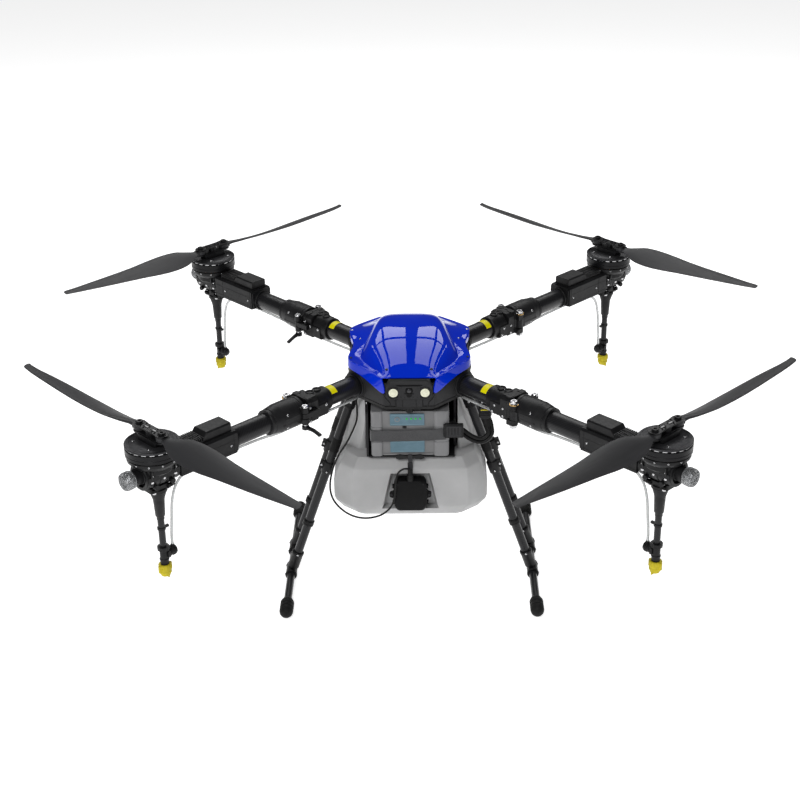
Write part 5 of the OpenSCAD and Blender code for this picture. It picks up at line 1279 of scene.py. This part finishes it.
# ------------------------------------------------------------------ landing gear
def make_legs():
    plate, leg_top, half, sz = 447.0, 103.0, 252.0, 14.0
    ang = math.degrees(math.atan((half - leg_top) / (plate + 3 - sz)))
    p = Part(); tubes = Part(); caps = Part()
    for s in (-1, 1):
        for y in (-50, 41):
            w = T(s * half, y, sz) @ R(-s * ang, "Y")
            length = (plate - 6 - sz) / math.cos(math.radians(ang))
            tubes.lathe([(7.5, 12), (9, 12), (9, length), (7.5, length)], 0, w, 40, closed=True)
            # skid tee: body, collars with lip, clamp screws
            p.lathe([(8.1, -19.8), (11.2, -19.8), (12.2, -18.8), (12.2, -14.6), (11.5, -14), (11.5, 14), (12.2, 14.6), (12.2, 18.8), (11.2, 19.8), (8.1, 19.8)], 0, T(s * half, y, sz) @ ALONG_Y, 40, closed=True)
            p.lathe([(9.1, 12.4), (11.8, 12.4), (11.8, 42), (12.5, 43), (12.5, 48.6), (11.6, 49.8), (9.1, 49.8)], 0, w, 40, closed=True)
            for yy in (-16.6, 16.6):
                p.screw((s * (half + 12), y + yy, sz + 1), (s, 0, 0), 2.2, 1.3, 1)
            p.screw((s * 0 + 0, -12.2, 46), (0, -1, 0), 2.2, 1.3, 1, 1.1, w)
            # telescopic ring, upper clamp with its ear and bolt
            p.lathe([(9.05, 118), (11.2, 118), (11.6, 118.6), (11.6, 122), (10.9, 122.6), (10.9, 124.2), (11.6, 124.8), (11.6, 129.2), (11, 130), (9.05, 130)], 0, w, 36, closed=True)
            p.lathe([(9.05, 247), (10.4, 247), (11.6, 249), (11.6, 273), (10.8, 274), (9.05, 274)], 0, w, 36, closed=True)
            p.box((s * 14 - 4, -5, 256), (s * 14 + 4, 5, 272), 0, w)
            p.screw((s * 14, -5, 264), (0, -1, 0), 2.6, 1.6, 1, 1.3, w)
            p.screw((0, -11.6, 254), (0, -1, 0), 2.0, 1.2, 1, 1.0, w)
            # rubber sleeve between clamp and socket
            p.lathe([(9.05, 300), (9.9, 300.4), (9.9, 330), (9.05, 330.4)], 2, w, 36, closed=True)
            # socket under the body
            p.lathe([(9.05, 404), (10.8, 404), (11.6, 405), (11.6, 409), (10.9, 409.8), (10.9, 412), (11.6, 412.8), (11.6, 452), (9.05, 452)], 0, w, 36, closed=True)
            x0, x1 = sorted((s * 90, s * 124))
            p.prism(rounded([(x0, y - 15), (x1, y - 15), (x1, y + 15), (x0, y + 15)], 5), plate - 6.8, plate - 0.1, 0)
            for dx in (5, 29):
                for dy in (-10.5, 10.5):
                    p.screw((x0 + dx, y + dy, plate - 6.8), (0, 0, -1), 2.3, 1.3, 1)
            # gusset rib
            for dy in (-9, 9):
                p.prism([(0, 0), (16, 0), (3, -22), (0, -22)], -1.3, 1.3, 0, T(s * 106, y + dy, plate - 6.5) @ Matrix(((s, 0, 0, 0), (0, 0, 1, 0), (0, 1, 0, 0), (0, 0, 0, 1))))
            p.screw((0, -11.5, 420), (0, -1, 0), 2.7, 1.7, 1, 1.3, w)
            p.screw((0, 11.5, 420), (0, 1, 0), 2.7, 1.7, 1, 1.3, w)
        tubes.lathe([(6.5, -206), (8, -206), (8, 214), (6.5, 214)], 0, T(s * half, 0, sz) @ ALONG_Y, 40, closed=True)
        for y0, d in ((-210, 1), (218, -1)):
            m = T(s * half, y0, sz) @ (ALONG_Y if d > 0 else Matrix(((1, 0, 0, 0), (0, 0, -1, 0), (0, 1, 0, 0), (0, 0, 0, 1))))
            prof = [(0, -5.9), (4, -5.3), (8, -3.3), (11, -0.6), (13, 3.2), (13.9, 8), (13.9, 12), (12.5, 12.6), (12.5, 14.4), (13.9, 15), (13.9, 24), (12.5, 24.6), (12.5, 26.4), (13.9, 27), (13.9, 37.6), (13.2, 39), (11.2, 45), (10.4, 45.9), (8.05, 45.9), (8.05, 5), (0, 5)]
            caps.lathe(prof, 0, m, 48)
    place(tubes.mesh("leg_and_skid_tubes", ["carbon"]), "leg_and_skid_tubes", "airframe", ["leg_tubes", "skid_tubes"])
    place(p.mesh("leg_clamps", ["black", "steel", "rubber"]), "leg_clamps", "airframe", ["leg_fittings"], bevel=0.4, seg=2, angle=38)
    place(caps.mesh("skid_end_caps", ["rubber"]), "skid_end_caps", "airframe", ["skid_caps"], bevel=0.35, seg=2, angle=38)
make_legs()

# ------------------------------------------------------------------ carried-over CAD nodes
def dress(node, mat, bevel=0.0):
    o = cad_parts[node]
    if not o.data.materials: o.data.materials.append(M[mat])
    for k in range(len(o.data.materials)): o.data.materials[k] = M[mat]
    if bevel:
        b = o.modifiers.new("edge", "BEVEL"); b.width = bevel * MM; b.segments = 2; b.limit_method = "ANGLE"; b.angle_limit = math.radians(40)
for node, mat in (("centre_frame", "metal"), ("avionics", "dark"), ("water_pump", "black")):
    dress(node, mat)

def make_pump_details():
    p = Part()
    # ribs round the pump's motor can, seen from below and behind when the tank is out
    for k in range(8):
        p.lathe([(15.1, 12 + 3 * k), (15.8, 12 + 3 * k), (15.8, 13.4 + 3 * k), (15.1, 13.4 + 3 * k)], 0, T(0, 115, 467) @ ALONG_X, 32, closed=True)
    place(p.mesh("pump_motor_ribs", ["black"]), "pump_motor_ribs", "airframe", bevel=0.2)
make_pump_details()

# ------------------------------------------------------------------ studio
def make_studio():
    fm, nt, b = nodes_of("studio_floor")
    n = noise(nt, coords(nt), 3, 2)
    cr = ramp(nt, n.outputs["Fac"], [(0.3, (0.90, 0.90, 0.90)), (0.7, (0.92, 0.92, 0.92))])
    nt.links.new(cr.outputs["Color"], b.inputs["Base Color"])
    b.inputs["Roughness"].default_value = 0.9
    b.inputs["Specular IOR Level"].default_value = 0.1
    b.inputs["Emission Color"].default_value = (1, 1, 1, 1)
    b.inputs["Emission Strength"].default_value = 0.78
    bm = bmesh.new()
    bmesh.ops.create_grid(bm, x_segments=1, y_segments=1, size=40)
    me = bpy.data.meshes.new("floor"); bm.to_mesh(me); bm.free()
    me.materials.append(fm)
    fl = bpy.data.objects.new("floor", me); SCN.collection.objects.link(fl)
    fl.location = (0, 0, -0.0005)
    w = bpy.data.worlds.new("studio"); SCN.world = w; w.use_nodes = True
    bg = w.node_tree.nodes["Background"]
    bg.inputs["Color"].default_value = (0.98, 0.99, 1.0, 1); bg.inputs["Strength"].default_value = 0.08
    def area(name, loc, target, sx, sy, power, col=(1, 1, 1)):
        d = bpy.data.lights.new(name, "AREA"); d.shape = "RECTANGLE"; d.size, d.size_y = sx, sy; d.energy = power; d.color = col
        o = bpy.data.objects.new(name, d); SCN.collection.objects.link(o)
        o.location = loc
        dr = Vector(target) - Vector(loc)
        o.rotation_mode = "QUATERNION"; o.rotation_quaternion = dr.to_track_quat("-Z", "Y")
        return o
    # window-like panel grid high behind the object, seen only as reflections in the hood
    cx, cy, cz = 0.0, 2.35, 3.12
    back = (Vector((0, 0, 0.53)) - Vector((cx, cy, cz))).normalized()
    right = Vector((1, 0, 0)); up = right.cross(-back).normalized()
    if up.z < 0: up = -up
    cols = [(0.07, 0.72), (0.90, 1.55), (2.0, 2.16)]
    for xi, (x0, x1) in enumerate(cols + [(-b_, -a_) for a_, b_ in cols]):
        for yi, (y0, y1) in enumerate(((-1.25, -0.66), (-0.52, 1.0))):
            c = Vector((cx, cy, cz)) + right * (x0 + x1) / 2 + up * (y0 + y1) / 2
            area("panel_%d_%d" % (xi, yi), c, c + back, x1 - x0, y1 - y0, 12.5 * (x1 - x0) * (y1 - y0))
    area("key", (-1.1, -3.6, 3.4), (0, 0, 0.4), 2.2, 2.2, 110)
make_studio()
SCN.view_settings.view_transform = "Standard"
SCN.view_settings.look = "None"
SCN.view_settings.exposure = 0.0
